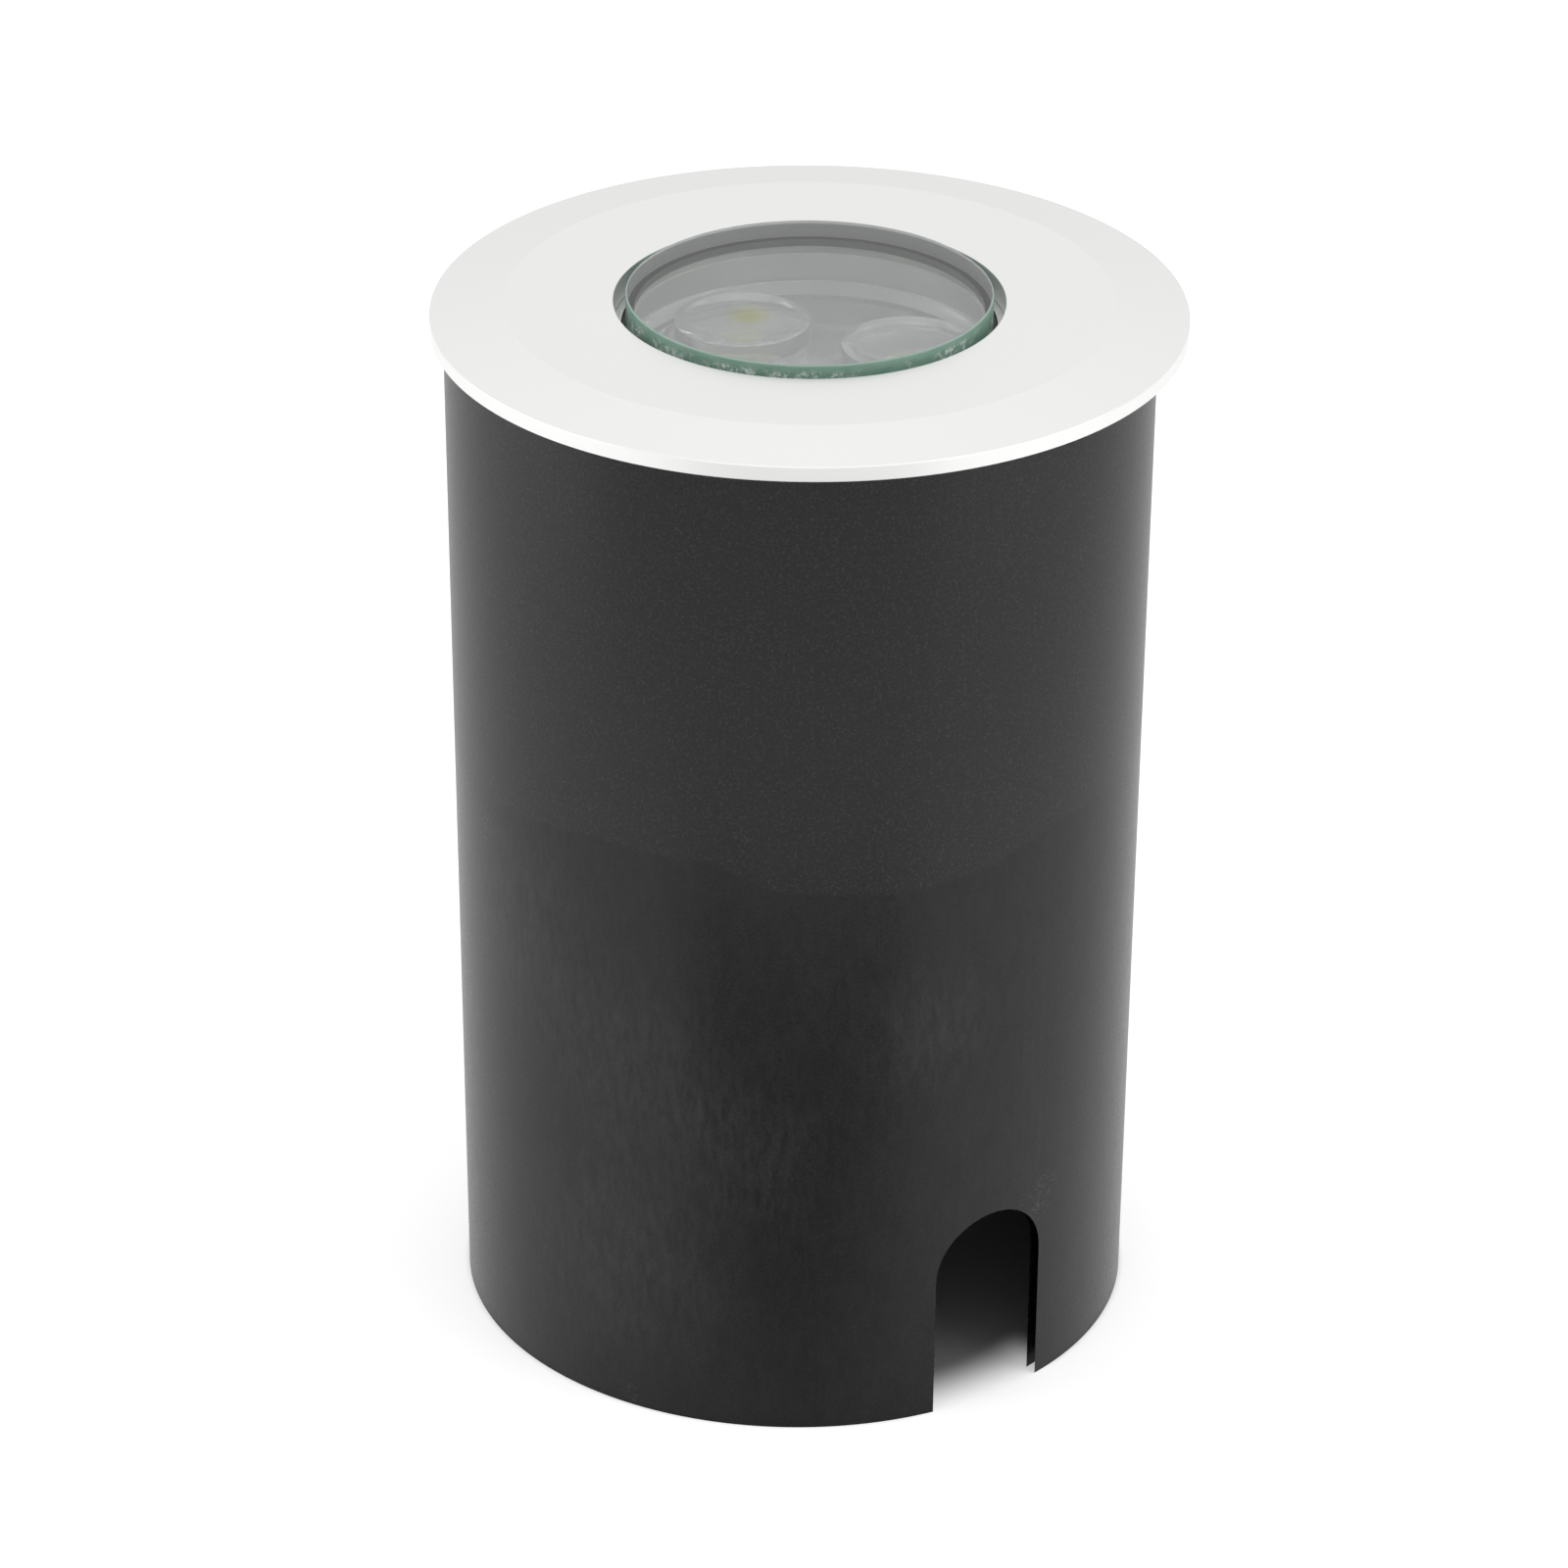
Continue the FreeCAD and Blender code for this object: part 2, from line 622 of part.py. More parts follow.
def make_board():
    """Round aluminium-core board with holes for its screws and for the two leads."""
    body = new_body("led_board", turned=True)
    extrude(body, "Board", lambda k: draw_circle(k, 0, 0, lens_radius), board_foot, s.board_thickness)
    hole_radius = s.board_screw_radius + s.slip_gap
    make_opposite_holes(body, hole_radius, board_foot, s.board_thickness)
    lead_radius = s.lead_radius + s.slip_gap
    hole = extrude(body, "LeadHole", lambda k: draw_circle(k, s.lead_place, 0, lead_radius),
                   board_foot, s.board_thickness, cut=True)
    repeat_round(body, hole, PAIR, grows=False)


def make_opposite_holes(body, radius, height, depth):
    """Three screw holes that stand between the lens cells."""
    hole = extrude(body, "ScrewHole", lambda k: draw_circle(k, -board_screw_place, 0, radius),
                   height, depth, cut=True)
    repeat_round(body, hole, CELLS, grows=False)


def make_chips():
    """Three square light-emitting chips, each with its round phosphor disc."""
    for index in range(3):
        body = new_body(f"led_chip_{index + 1}")
        angle = s.lens_turn.value + 120.0 * index
        body.Placement = Placement(Vector(), Rotation(Vector(0, 0, 1), angle))
        half = s.chip_width * 0.5
        near = cell_place - half
        far = cell_place + half
        outline = [(near, -half), (far, -half), (far, half), (near, half)]
        extrude(body, "Base", lambda k: draw_outline(k, outline), board_top, s.chip_height)
        extrude(body, "Phosphor", lambda k: draw_circle(k, cell_place, 0, s.dome_radius),
                board_top + s.chip_height, s.dome_height)


def make_carrier():
    """Heat-spreading disc behind the board, tapped for the board screws."""
    body = new_body("heat_disc", turned=True)
    chip = s.edge_break
    revolve(body, "Disc", [
        (s.lead_hole_radius, carrier_foot),
        (insert_radius - chip, carrier_foot),
        (insert_radius, carrier_foot + chip),
        (insert_radius, board_foot - chip),
        (insert_radius - chip, board_foot),
        (s.lead_hole_radius, board_foot),
    ])
    depth = s.board_screw_length - s.board_thickness + s.slip_gap
    hole = extrude(body, "TappedHole",
                   lambda k: draw_circle(k, -board_screw_place, 0, s.board_screw_radius + s.slip_gap),
                   board_foot, depth, up=False, cut=True)
    repeat_round(body, hole, CELLS, grows=False)


def make_retaining_ring():
    """Spring ring in the housing's groove, with two drilled ears at its gap."""
    body = new_body("retaining_ring")
    outer = bore_radius + s.clip_bite - s.slip_gap
    inner = outer - s.clip_width
    thickness = s.clip_thickness
    revolve(body, "Band", [(inner, clip_foot), (outer, clip_foot), (outer, carrier_foot),
                           (inner, carrier_foot)])
    half = s.clip_opening * 0.5
    far = outer + s.cut_margin
    gap = [(inner - s.cut_margin, -half), (far, -half), (far, half), (inner - s.cut_margin, half)]
    extrude(body, "Gap", lambda k: draw_outline(k, gap), clip_foot, thickness, cut=True)
    for side, name in ((1, "LeftEar"), (-1, "RightEar")):
        across = (half + s.ear_radius * 0.5) * side
        along = inner - s.slip_gap
        extrude(body, name, lambda k: draw_circle(k, along, across, s.ear_radius), clip_foot, thickness)
        extrude(body, name + "Hole", lambda k: draw_circle(k, along, across, s.ear_hole_radius),
                clip_foot, thickness, cut=True)


def make_rear_cover():
    """Turned cover: plate, spigot with a seal groove, and a boss bored for the cable gland."""
    body = new_body("rear_cover")
    chip = s.edge_break
    groove_foot = housing_foot + (s.spigot_height - s.seal_width) * 0.5
    groove_top = groove_foot + s.seal_width
    bore = s.gland_thread_radius + s.slip_gap
    revolve(body, "Cover", [
        (bore, boss_foot),
        (s.boss_radius - chip, boss_foot),
        (s.boss_radius, boss_foot + chip),
        (s.boss_radius, cover_foot),
        (s.housing_radius - chip, cover_foot),
        (s.housing_radius, cover_foot + chip),
        (s.housing_radius, housing_foot),
        (insert_radius, housing_foot),
        (insert_radius, groove_foot),
        (insert_radius - s.seal_bite, groove_foot),
        (insert_radius - s.seal_bite, groove_top),
        (insert_radius, groove_top),
        (insert_radius, spigot_top),
        (bore, spigot_top),
    ])
    drill(body, "ScrewHole", cover_screw_place, s.cover_screw_radius + s.slip_gap, cover_foot,
          s.cover_thickness, s.cover_screw_count)
    drill(body, "PostHole", post_place, s.post_screw_radius + s.slip_gap, spigot_top,
          s.post_screw_length, PAIR, up=False)


def make_cover_seal():
    """Rubber ring in the cover's groove, pressed against the housing bore."""
    section = (s.seal_bite + s.fit_gap) * 0.5 - s.slip_gap
    make_round_seal("cover_seal", bore_radius - s.slip_gap - section,
                    section, housing_foot + s.spigot_height * 0.5)


def make_driver_posts():
    """Two round posts, each with a stud down into the cover and a tapped end up."""
    body = new_body("driver_posts")
    stud = s.post_screw_radius
    floor = lug_foot - s.post_screw_length
    tapped = s.post_screw_radius + s.slip_gap
    post = revolve(body, "Post", [
        (0, spigot_top - s.post_screw_length + s.fit_gap),
        (stud, spigot_top - s.post_screw_length + s.fit_gap),
        (stud, spigot_top),
        (s.post_radius, spigot_top),
        (s.post_radius, lug_foot),
        (tapped, lug_foot),
        (tapped, floor),
        (0, floor),
    ], axis_x=post_place)
    repeat_round(body, post, PAIR)


def make_driver():
    """Potted driver case with a fixing lug at each end."""
    body = new_body("led_driver")
    x = s.driver_length * 0.5
    y = s.driver_width * 0.5
    case = [(-x, -y), (x, -y), (x, y), (-x, y)]
    extrude(body, "Case", lambda k: draw_outline(k, case), lug_foot, s.driver_height)
    round_edges(body, "Corners", s.driver_corner, is_upright)
    round_edges(body, "TopEdge", s.driver_edge, lambda edge: is_level(edge, driver_top))
    reach = post_place + s.lug_reach
    half = s.lug_width * 0.5
    lug = [(-reach, -half), (reach, -half), (reach, half), (-reach, half)]
    extrude(body, "Lugs", lambda k: draw_outline(k, lug), lug_foot, s.lug_thickness)
    drill(body, "LugHole", post_place, s.post_screw_radius + s.slip_gap, lug_foot,
          s.lug_thickness, PAIR)


def is_upright(edge):
    first, last = edge.Vertexes[0].Point, edge.Vertexes[-1].Point
    return abs(first.x - last.x) < 1e-6 and abs(first.y - last.y) < 1e-6


def is_level(edge, height):
    return all(abs(vertex.Point.z - height.value) < 1e-6 for vertex in edge.Vertexes)


def round_edges(body, name, radius, wanted):
    """Fillet the edges of the body that the test picks."""
    before = body_volume(body)
    base = body.Tip
    edges = [f"Edge{n}" for n, edge in enumerate(base.Shape.Edges, start=1) if wanted(edge)]
    fillet = body.newObject("PartDesign::Fillet", name)
    fillet.Base = (base, edges)
    fillet.setExpression("Radius", radius.formula)
    body.Tip = fillet
    require_change(body, fillet, before, grows=False)


def make_lead(label, side):
    """Insulated lead: straight out of the driver, a gentle S, straight into the board's hole."""
    start = Vector(s.lead_start.value * side, 0, driver_top.value)
    end = Vector(s.lead_place.value * side, 0, board_top.value)
    reach = (end.z - start.z) / 3.0
    lower = Vector(start.x, 0, start.z + reach)
    upper = Vector(end.x, 0, end.z - reach)
    path = Part.Wire(rounded_path([start, lower, upper, end]))
    disc = Part.Wire(Part.Circle(start, Vector(0, 0, 1), s.lead_radius.value).toShape())
    lead = doc.addObject("Part::Feature", label)
    lead.Label = label
    lead.Shape = path.makePipeShell([disc], True, False)
    place_turned(lead)


def rounded_path(points):
    """Straight runs joined by arcs, each as large as 0.45 of the shorter of its two runs."""
    edges = []
    here = points[0]
    for before, corner, after in zip(points, points[1:], points[2:]):
        arriving = (corner - before).normalize()
        leaving = (after - corner).normalize()
        cut = 0.45 * min((corner - before).Length, (after - corner).Length)
        enter = corner - arriving * cut
        leave = corner + leaving * cut
        half_turn = arriving.getAngle(leaving) / 2
        bisector = (leaving - arriving).normalize()
        radius = cut / math.tan(half_turn)
        middle = corner + bisector * (radius / math.cos(half_turn) - radius)
        edges.append(Part.LineSegment(here, enter).toShape())
        edges.append(Part.Arc(enter, middle, leave).toShape())
        here = leave
    edges.append(Part.LineSegment(here, points[-1]).toShape())
    return edges


def make_gland_washer():
    body = new_body("gland_washer")
    inner = s.gland_thread_radius + s.slip_gap
    outer = inner + s.washer_width
    revolve(body, "Washer", [(inner, washer_foot), (outer, washer_foot), (outer, boss_foot),
                             (inner, boss_foot)])


def make_gland_body():
    """Screwed gland: thread up into the boss, hexagon, and a neck with a cup for the rubber."""
    body = new_body("gland_body")
    chip = s.edge_break
    cup_floor = gland_hex_foot - chip
    revolve(body, "Turned", [
        (s.gland_bore_radius, cup_floor),
        (s.gland_cup_radius, cup_floor),
        (s.gland_cup_radius, gland_neck_foot),
        (s.gland_neck_radius, gland_neck_foot),
        (s.gland_neck_radius, washer_foot),
        (s.gland_thread_radius, washer_foot),
        (s.gland_thread_radius, washer_foot + s.gland_thread_length - chip),
        (s.gland_thread_radius - chip, washer_foot + s.gland_thread_length),
        (s.gland_bore_radius, washer_foot + s.gland_thread_length),
    ])
    extrude(body, "Hexagon", lambda k: draw_hex_ring(k, s.gland_across, s.gland_neck_radius - chip),
            gland_hex_foot, s.gland_hex_height)


def draw_hex_ring(sketch, across, inner):
    draw_outline(sketch, hexagon(across))
    draw_circle(sketch, 0, 0, inner)


def make_gland_rubber():
    """Rubber sleeve that the dome nut squeezes onto the cable."""
    body = new_body("gland_rubber")
    outer = s.gland_cup_radius - s.slip_gap
    top = gland_hex_foot - s.edge_break
    foot = nut_foot + s.dome_lip + s.edge_break * 2
    revolve(body, "Rubber", [
        (s.rubber_bore_radius, foot),
        (outer - s.rubber_taper, foot),
        (outer, gland_neck_foot),
        (outer, top),
        (s.rubber_bore_radius, top),
    ])


def make_gland_nut():
    """Dome nut over the neck, coned inwards to the mouth for the cable."""
    body = new_body("gland_nut")
    bore = s.gland_neck_radius + s.slip_gap
    mouth = s.dome_mouth_radius
    wall = s.nut_across * 0.5
    revolve(body, "Dome", [
        (mouth, nut_foot),
        (mouth + s.dome_lip, nut_foot),
        (wall - s.edge_break, nut_hex_foot),
        (wall - s.edge_break, nut_top),
        (bore, nut_top),
        (bore, nut_hex_foot),
        (s.gland_neck_radius, nut_hex_foot - s.edge_break),
        (mouth, nut_foot + s.dome_lip),
    ])
    extrude(body, "Hexagon", lambda k: draw_hex_ring(k, s.nut_across, bore + s.edge_break),
            nut_hex_foot, s.nut_hex_height)


def make_screws():
    """Every screw ring, seated on the piece that it holds."""
    screw_ring("ring_screws", ring_screw_place, s.ring_screw_count, flange_foot,
               (s.ring_screw_radius, s.flange_thickness + s.ring_screw_bite),
               (s.ring_head_radius, s.ring_head_height), up=True)
    screw_ring("cover_screws", cover_screw_place, s.cover_screw_count, cover_foot,
               (s.cover_screw_radius, s.cover_thickness + s.cover_screw_bite),
               (s.cover_head_radius, s.cover_head_height), up=True)
    screw_ring("board_screws", -board_screw_place, CELLS, board_top,
               (s.board_screw_radius, s.board_screw_length),
               (s.board_head_radius, s.board_head_height), up=False, turned=True)
    screw_ring("driver_screws", post_place, PAIR, lug_top,
               (s.post_screw_radius, s.post_screw_length),
               (s.board_head_radius, s.board_head_height), up=False)


CELLS = Size.of(3)
PAIR = Size.of(2)

make_sleeve()
make_front_ring()
make_glass()
make_gasket()
make_flange()
make_flange_seal()
make_housing()
make_lens()
make_board()
make_chips()
make_carrier()
make_retaining_ring()
make_rear_cover()
make_cover_seal()
make_driver_posts()
make_driver()
make_lead("lead_red", 1)
make_lead("lead_black", -1)
make_gland_washer()
make_gland_body()
make_gland_rubber()
make_gland_nut()
make_screws()
doc.recompute()


def sub_parts():
    kinds = ("PartDesign::Body", "Part::Torus", "Part::Feature")
    return [item for item in doc.Objects if item.TypeId in kinds and item.getParentGeoFeatureGroup() is None]


def write_parts():
    """Check the whole document, then write one file for each sub-part."""
    for item in doc.Objects:
        if {"Invalid", "Error"} & set(item.State):
            raise RuntimeError(f"{item.Name} is {item.State}")
    pieces = sub_parts()
    for piece in pieces:
        if piece.Shape.isNull() or not piece.Shape.isValid():
            raise RuntimeError(f"{piece.Label} has no valid shape")
    os.makedirs("parts", exist_ok=True)
    for piece in pieces:
        piece.Shape.exportStep(f"parts/{piece.Label}.step")
        box = piece.Shape.BoundBox
        print(f"{piece.Label:16s} solids {len(piece.Shape.Solids)} volume {piece.Shape.Volume:10.1f}"
              f" z {box.ZMin:7.2f} to {box.ZMax:7.2f} r {box.XMax:6.2f}")


write_parts()
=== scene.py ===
import math

import bpy
from mathutils import Matrix, Vector


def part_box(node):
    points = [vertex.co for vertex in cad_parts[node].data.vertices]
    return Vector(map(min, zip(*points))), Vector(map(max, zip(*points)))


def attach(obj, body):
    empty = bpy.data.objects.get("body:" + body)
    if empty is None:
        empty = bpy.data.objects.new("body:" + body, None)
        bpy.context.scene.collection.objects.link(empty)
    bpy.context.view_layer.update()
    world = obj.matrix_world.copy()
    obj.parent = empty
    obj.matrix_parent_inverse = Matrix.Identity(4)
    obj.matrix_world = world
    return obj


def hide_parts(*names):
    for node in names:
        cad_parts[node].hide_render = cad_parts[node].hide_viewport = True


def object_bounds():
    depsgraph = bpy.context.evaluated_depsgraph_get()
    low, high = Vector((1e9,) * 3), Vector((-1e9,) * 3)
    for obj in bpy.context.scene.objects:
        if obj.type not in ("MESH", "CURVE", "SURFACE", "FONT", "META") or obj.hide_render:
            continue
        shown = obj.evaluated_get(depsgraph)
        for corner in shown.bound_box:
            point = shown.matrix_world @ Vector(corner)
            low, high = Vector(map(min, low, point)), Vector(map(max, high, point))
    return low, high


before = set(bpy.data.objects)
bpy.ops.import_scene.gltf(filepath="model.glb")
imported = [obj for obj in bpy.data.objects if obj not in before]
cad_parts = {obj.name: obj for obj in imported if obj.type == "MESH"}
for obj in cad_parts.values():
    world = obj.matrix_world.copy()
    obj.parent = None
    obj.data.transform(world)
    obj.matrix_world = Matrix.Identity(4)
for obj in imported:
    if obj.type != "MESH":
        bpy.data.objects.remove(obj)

cad_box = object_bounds()

# Camera.  The photograph looks down on the light from about a metre away, with the cable slot of
# the sleeve about 35 degrees round to the right.
image_pixels = 1600
sensor_width = 36.0
focal_pixels = 6813.5
view_turn = math.radians(-35.4)
view_distance = 0.8887
view_height = 0.5430
view_pitch = math.radians(27.43)
view_yaw = math.radians(-0.13)
view_roll = math.radians(0.353)

sleeve_low, sleeve_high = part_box("mounting_sleeve")
sleeve_middle = (sleeve_low + sleeve_high) / 2
upward = Vector((0, 0, 1))
onward = Vector((-math.sin(view_turn), math.cos(view_turn), 0))
sideways = Vector((math.cos(view_turn), math.sin(view_turn), 0))
level_look = sideways * math.sin(view_yaw) + onward * math.cos(view_yaw)
look = level_look * math.cos(view_pitch) - upward * math.sin(view_pitch)
side = look.cross(upward).normalized()
top = side.cross(look)
camera_right = side * math.cos(view_roll) + top * math.sin(view_roll)
camera_top = top * math.cos(view_roll) - side * math.sin(view_roll)
stand_point = Vector((sleeve_middle.x, sleeve_middle.y, view_height)) - onward * view_distance

camera_data = bpy.data.cameras.new("studio_camera")
camera_data.sensor_width = sensor_width
camera_data.lens = focal_pixels / image_pixels * sensor_width
camera = bpy.data.objects.new("studio_camera", camera_data)
bpy.context.scene.collection.objects.link(camera)
camera.matrix_world = Matrix((
    (camera_right.x, camera_top.x, -look.x, stand_point.x),
    (camera_right.y, camera_top.y, -look.y, stand_point.y),
    (camera_right.z, camera_top.z, -look.z, stand_point.z),
    (0, 0, 0, 1),
))
bpy.context.scene.camera = camera


# Mounting sleeve.  Black polypropylene, injection moulded with a little draft, open at the foot and
# with an arched cable slot at the front and the back.  The upper part has the mould's fine
# spark-eroded grain, the lower part is smoother and handled.
sleeve_wall = 0.002
sleeve_draft = 0.0014
sleeve_edge = 0.00018
round_steps = 192
weld_distance = 1e-6
slot_width = 0.019
slot_height = 0.032
slot_reach = 0.070
slot_below = 0.004
arch_steps = 48

grain_border = 0.0895
border_span = 0.006
border_waver = 0.0020
border_blend = 0.0005
band_full = 0.094
band_end = 0.140
# The border's rise, from 0 to 1, at shares of the sleeve's width.
border_heights = [(0.08, 0.50), (0.21, 0.93), (0.37, 0.86), (0.44, 0.33), (0.63, 0.03), (0.73, 0.17),
                  (0.83, 0.65), (0.89, 0.82)]
# Spots on the wall: the place across, the height and the reach of each.
worn_patches = [(-0.041, 0.074, 0.024), (-0.024, 0.058, 0.022), (-0.008, 0.046, 0.016),
                (-0.026, 0.026, 0.024), (0.020, 0.066, 0.014)]
scuffed_spots = [(-0.0250, 0.0020, 0.0030), (-0.0215, 0.0010, 0.0022), (0.0365, 0.0300, 0.0050),
                 (0.0385, 0.0330, 0.0035), (-0.0460, 0.0860, 0.0040)]


class Signal:
    """An output socket of a material, on which plain arithmetic adds the maths nodes."""

    def __init__(self, tree, socket=None):
        self.tree = tree
        self.socket = socket

    def node(self, kind, settings, sockets, output=0):
        """Add one node: its settings first, then the values or links of its sockets."""
        made = self.tree.nodes.new(kind)
        for name, value in settings.items():
            if name == "stops":
                set_stops(made.color_ramp, value)
            else:
                setattr(made, name, value)
        for name, value in sockets.items():
            if isinstance(value, Signal):
                self.tree.links.new(value.socket, made.inputs[name])
            else:
                made.inputs[name].default_value = value
        return Signal(self.tree, made.outputs[output])

    def math(self, operation, *values):
        return self.node("ShaderNodeMath", {"operation": operation}, dict(enumerate(values)))

    def __add__(self, other):
        return self.math("ADD", self, other)

    __radd__ = __add__

    def __sub__(self, other):
        return self.math("SUBTRACT", self, other)

    def __rsub__(self, other):
        return self.math("SUBTRACT", other, self)

    def __mul__(self, other):
        return self.math("MULTIPLY", self, other)

    __rmul__ = __mul__

    def __truediv__(self, other):
        return self.math("DIVIDE", self, other)

    def unsigned(self):
        """The number without its sign."""
        return self.math("ABSOLUTE", self)

    def step(self, low, high):
        """0 below low, 1 above high, smooth between them."""
        sockets = {"Value": self, "From Min": low, "From Max": high}
        return self.node("ShaderNodeMapRange", {"interpolation_type": "SMOOTHSTEP"}, sockets)

    def noise(self, place, scale, detail=3.0, roughness=0.5):
        sockets = {"Vector": place, "Scale": scale, "Detail": detail, "Roughness": roughness}
        return self.node("ShaderNodeTexNoise", {}, sockets)

    def stretch(self, place, scale, turn=(0, 0, 0)):
        return self.node("ShaderNodeMapping", {}, {"Vector": place, "Scale": scale, "Rotation": turn})

    def mix(self, factor, first, second):
        """The first colour at factor 0, the second at factor 1."""
        sockets = {"Factor": factor, 6: first, 7: second}
        return self.node("ShaderNodeMix", {"data_type": "RGBA"}, sockets, output=2)

    def tint(self, tone, green=1.0, blue=1.0):
        """A near-grey colour: the tone in red, and shares of it in green and blue."""
        channels = {"Red": tone, "Green": tone * green, "Blue": tone * blue}
        return self.node("ShaderNodeCombineColor", {}, channels)

    def bump(self, height, strength, distance, normal=None):
        sockets = {"Height": height, "Strength": strength, "Distance": distance}
        if normal is not None:
            sockets["Normal"] = normal
        return self.node("ShaderNodeBump", {}, sockets)


def set_stops(ramp, stops):
    """Set a colour ramp's stops from (position, colour) pairs."""
    while len(ramp.elements) < len(stops):
        ramp.elements.new(0.5)
    for element, (position, color) in zip(ramp.elements, stops):
        element.position = position
        element.color = color


def new_finish(name):
    """An empty material: itself, its main shader and a Signal to start from."""
    finish = bpy.data.materials.new(name)
    finish.use_nodes = True
    shader = finish.node_tree.nodes["Principled BSDF"]
    return finish, shader, Signal(finish.node_tree)


def feed(signal, shader, socket):
    signal.tree.links.new(signal.socket, shader.inputs[socket])


def place_of(signal):
    """Object coordinates, which are the row's own in metres, because every mesh is at its place."""
    return signal.node("ShaderNodeTexCoord", {}, {}, output="Object")


def part_of(signal, vector, axis):
    return signal.node("ShaderNodeSeparateXYZ", {}, {"Vector": vector}, output=axis)


def along(signal, place, direction):
    """How far a place lies along a direction."""
    sockets = {0: place, 1: direction}
    return signal.node("ShaderNodeVectorMath", {"operation": "DOT_PRODUCT"}, sockets, output="Value")


def distance_to(signal, place, point):
    sockets = {0: place, 1: point}
    return signal.node("ShaderNodeVectorMath", {"operation": "DISTANCE"}, sockets, output="Value")


def cloud_round(signal, place, point, reach):
    """1 within a fifth of the reach from the point, fading to 0 at the reach."""
    away = distance_to(signal, place, point)
    return 1 - away.step(reach * 0.2, reach)


def coat(piece, *finishes):
    """Give the piece these finishes in place of its own."""
    piece.data.materials.clear()
    for finish in finishes:
        piece.data.materials.append(finish)


def draw_line(name, points, closed=True):
    """Draw a line through the points: a speck of a plane is merged to one vertex and extruded."""
    bpy.ops.object.select_all(action="DESELECT")
    bpy.ops.mesh.primitive_plane_add(size=0.001, location=(0, 0, 0))
    piece = bpy.context.object
    piece.name = name
    bpy.ops.object.mode_set(mode="EDIT")
    bpy.ops.mesh.select_mode(type="VERT")
    bpy.ops.mesh.select_all(action="SELECT")
    bpy.ops.mesh.merge(type="CENTER")
    bpy.ops.transform.translate(value=points[0])
    for point, next_point in zip(points, points[1:]):
        bpy.ops.mesh.extrude_region_move(TRANSFORM_OT_translate={"value": next_point - point})
    bpy.ops.object.mode_set(mode="OBJECT")
    if closed:
        ends = (0, len(piece.data.vertices) - 1)
        for index, vertex in enumerate(piece.data.vertices):
            vertex.select = index in ends
        bpy.ops.object.mode_set(mode="EDIT")
        bpy.ops.mesh.edge_face_add()
        bpy.ops.object.mode_set(mode="OBJECT")
    return piece


def turn_profile(name, corners, middle=(0, 0), closed=True, steps=round_steps):
    """Draw the profile of (radius, height) corners and spin it about the upright axis."""
    points = [Vector((middle[0] + radius, middle[1], height)) for radius, height in corners]
    piece = draw_line(name, points, closed)
    bpy.ops.object.mode_set(mode="EDIT")
    bpy.ops.mesh.select_all(action="SELECT")
    bpy.ops.mesh.spin(steps=steps, angle=math.tau, center=(middle[0], middle[1], 0), axis=(0, 0, 1))
    bpy.ops.mesh.select_all(action="SELECT")
    bpy.ops.mesh.remove_doubles(threshold=weld_distance)
    bpy.ops.mesh.normals_make_consistent(inside=False)
    bpy.ops.object.mode_set(mode="OBJECT")
    return piece


def apply_modifier(piece, kind, **settings):
    modifier = piece.modifiers.new(kind.title(), kind)
    for name, value in settings.items():
        setattr(modifier, name, value)
    bpy.ops.object.select_all(action="DESELECT")
    piece.select_set(True)
    bpy.context.view_layer.objects.active = piece
    bpy.ops.object.modifier_apply(modifier=modifier.name)


def soften(piece, width, smooth_angle=25):
    """Break the edges that are sharper than the angle, and shade the turned walls smooth."""
    apply_modifier(piece, "BEVEL", width=width, segments=2, limit_method="ANGLE",
                   angle_limit=math.radians(smooth_angle), harden_normals=False)
    bpy.ops.object.shade_smooth_by_angle(angle=math.radians(smooth_angle))


sleeve_top_radius = (sleeve_high.x - sleeve_low.x) / 2
sleeve_foot_radius = sleeve_top_radius - sleeve_draft
sleeve = turn_profile("sleeve_moulding", [
    (sleeve_foot_radius, sleeve_low.z),
    (sleeve_top_radius, sleeve_high.z),
    (sleeve_top_radius - sleeve_wall, sleeve_high.z),
    (sleeve_foot_radius - sleeve_wall, sleeve_low.z),
], middle=(sleeve_middle.x, sleeve_middle.y))

arch_radius = slot_width / 2
arch_height = slot_height - arch_radius
cutter_start = sleeve_middle.y - slot_reach
slot_outline = [Vector((sleeve_middle.x + arch_radius, cutter_start, sleeve_low.z - slot_below))]
for step in range(arch_steps + 1):
    turn = math.pi * step / arch_steps
    slot_outline.append(Vector((sleeve_middle.x + arch_radius * math.cos(turn), cutter_start,
                                arch_height + arch_radius * math.sin(turn))))
slot_outline.append(Vector((sleeve_middle.x - arch_radius, cutter_start, sleeve_low.z - slot_below)))
slot_cutter = draw_line("slot_cutter", slot_outline)
bpy.ops.object.mode_set(mode="EDIT")
bpy.ops.mesh.select_all(action="SELECT")
bpy.ops.mesh.edge_face_add()
bpy.ops.mesh.extrude_region_move(TRANSFORM_OT_translate={"value": (0, 2 * slot_reach, 0)})
bpy.ops.mesh.select_all(action="SELECT")
bpy.ops.mesh.normals_make_consistent(inside=False)
bpy.ops.object.mode_set(mode="OBJECT")
apply_modifier(sleeve, "BOOLEAN", object=slot_cutter, operation="DIFFERENCE", solver="EXACT")
bpy.data.objects.remove(slot_cutter)
soften(sleeve, sleeve_edge)


def wall_point(across, height):
    """A point of the sleeve's outside, by its place across the photograph and its height."""
    depth = math.sqrt(sleeve_top_radius ** 2 - across ** 2)
    axis_point = Vector((sleeve_middle.x, sleeve_middle.y, height))
    return axis_point + sideways * across - onward * depth


def spots_on_wall(signal, place, spots):
    """The sum of the soft spots at these places of the wall."""
    total = 0
    for across, height, reach in spots:
        total = total + cloud_round(signal, place, wall_point(across, height), reach)
    return total


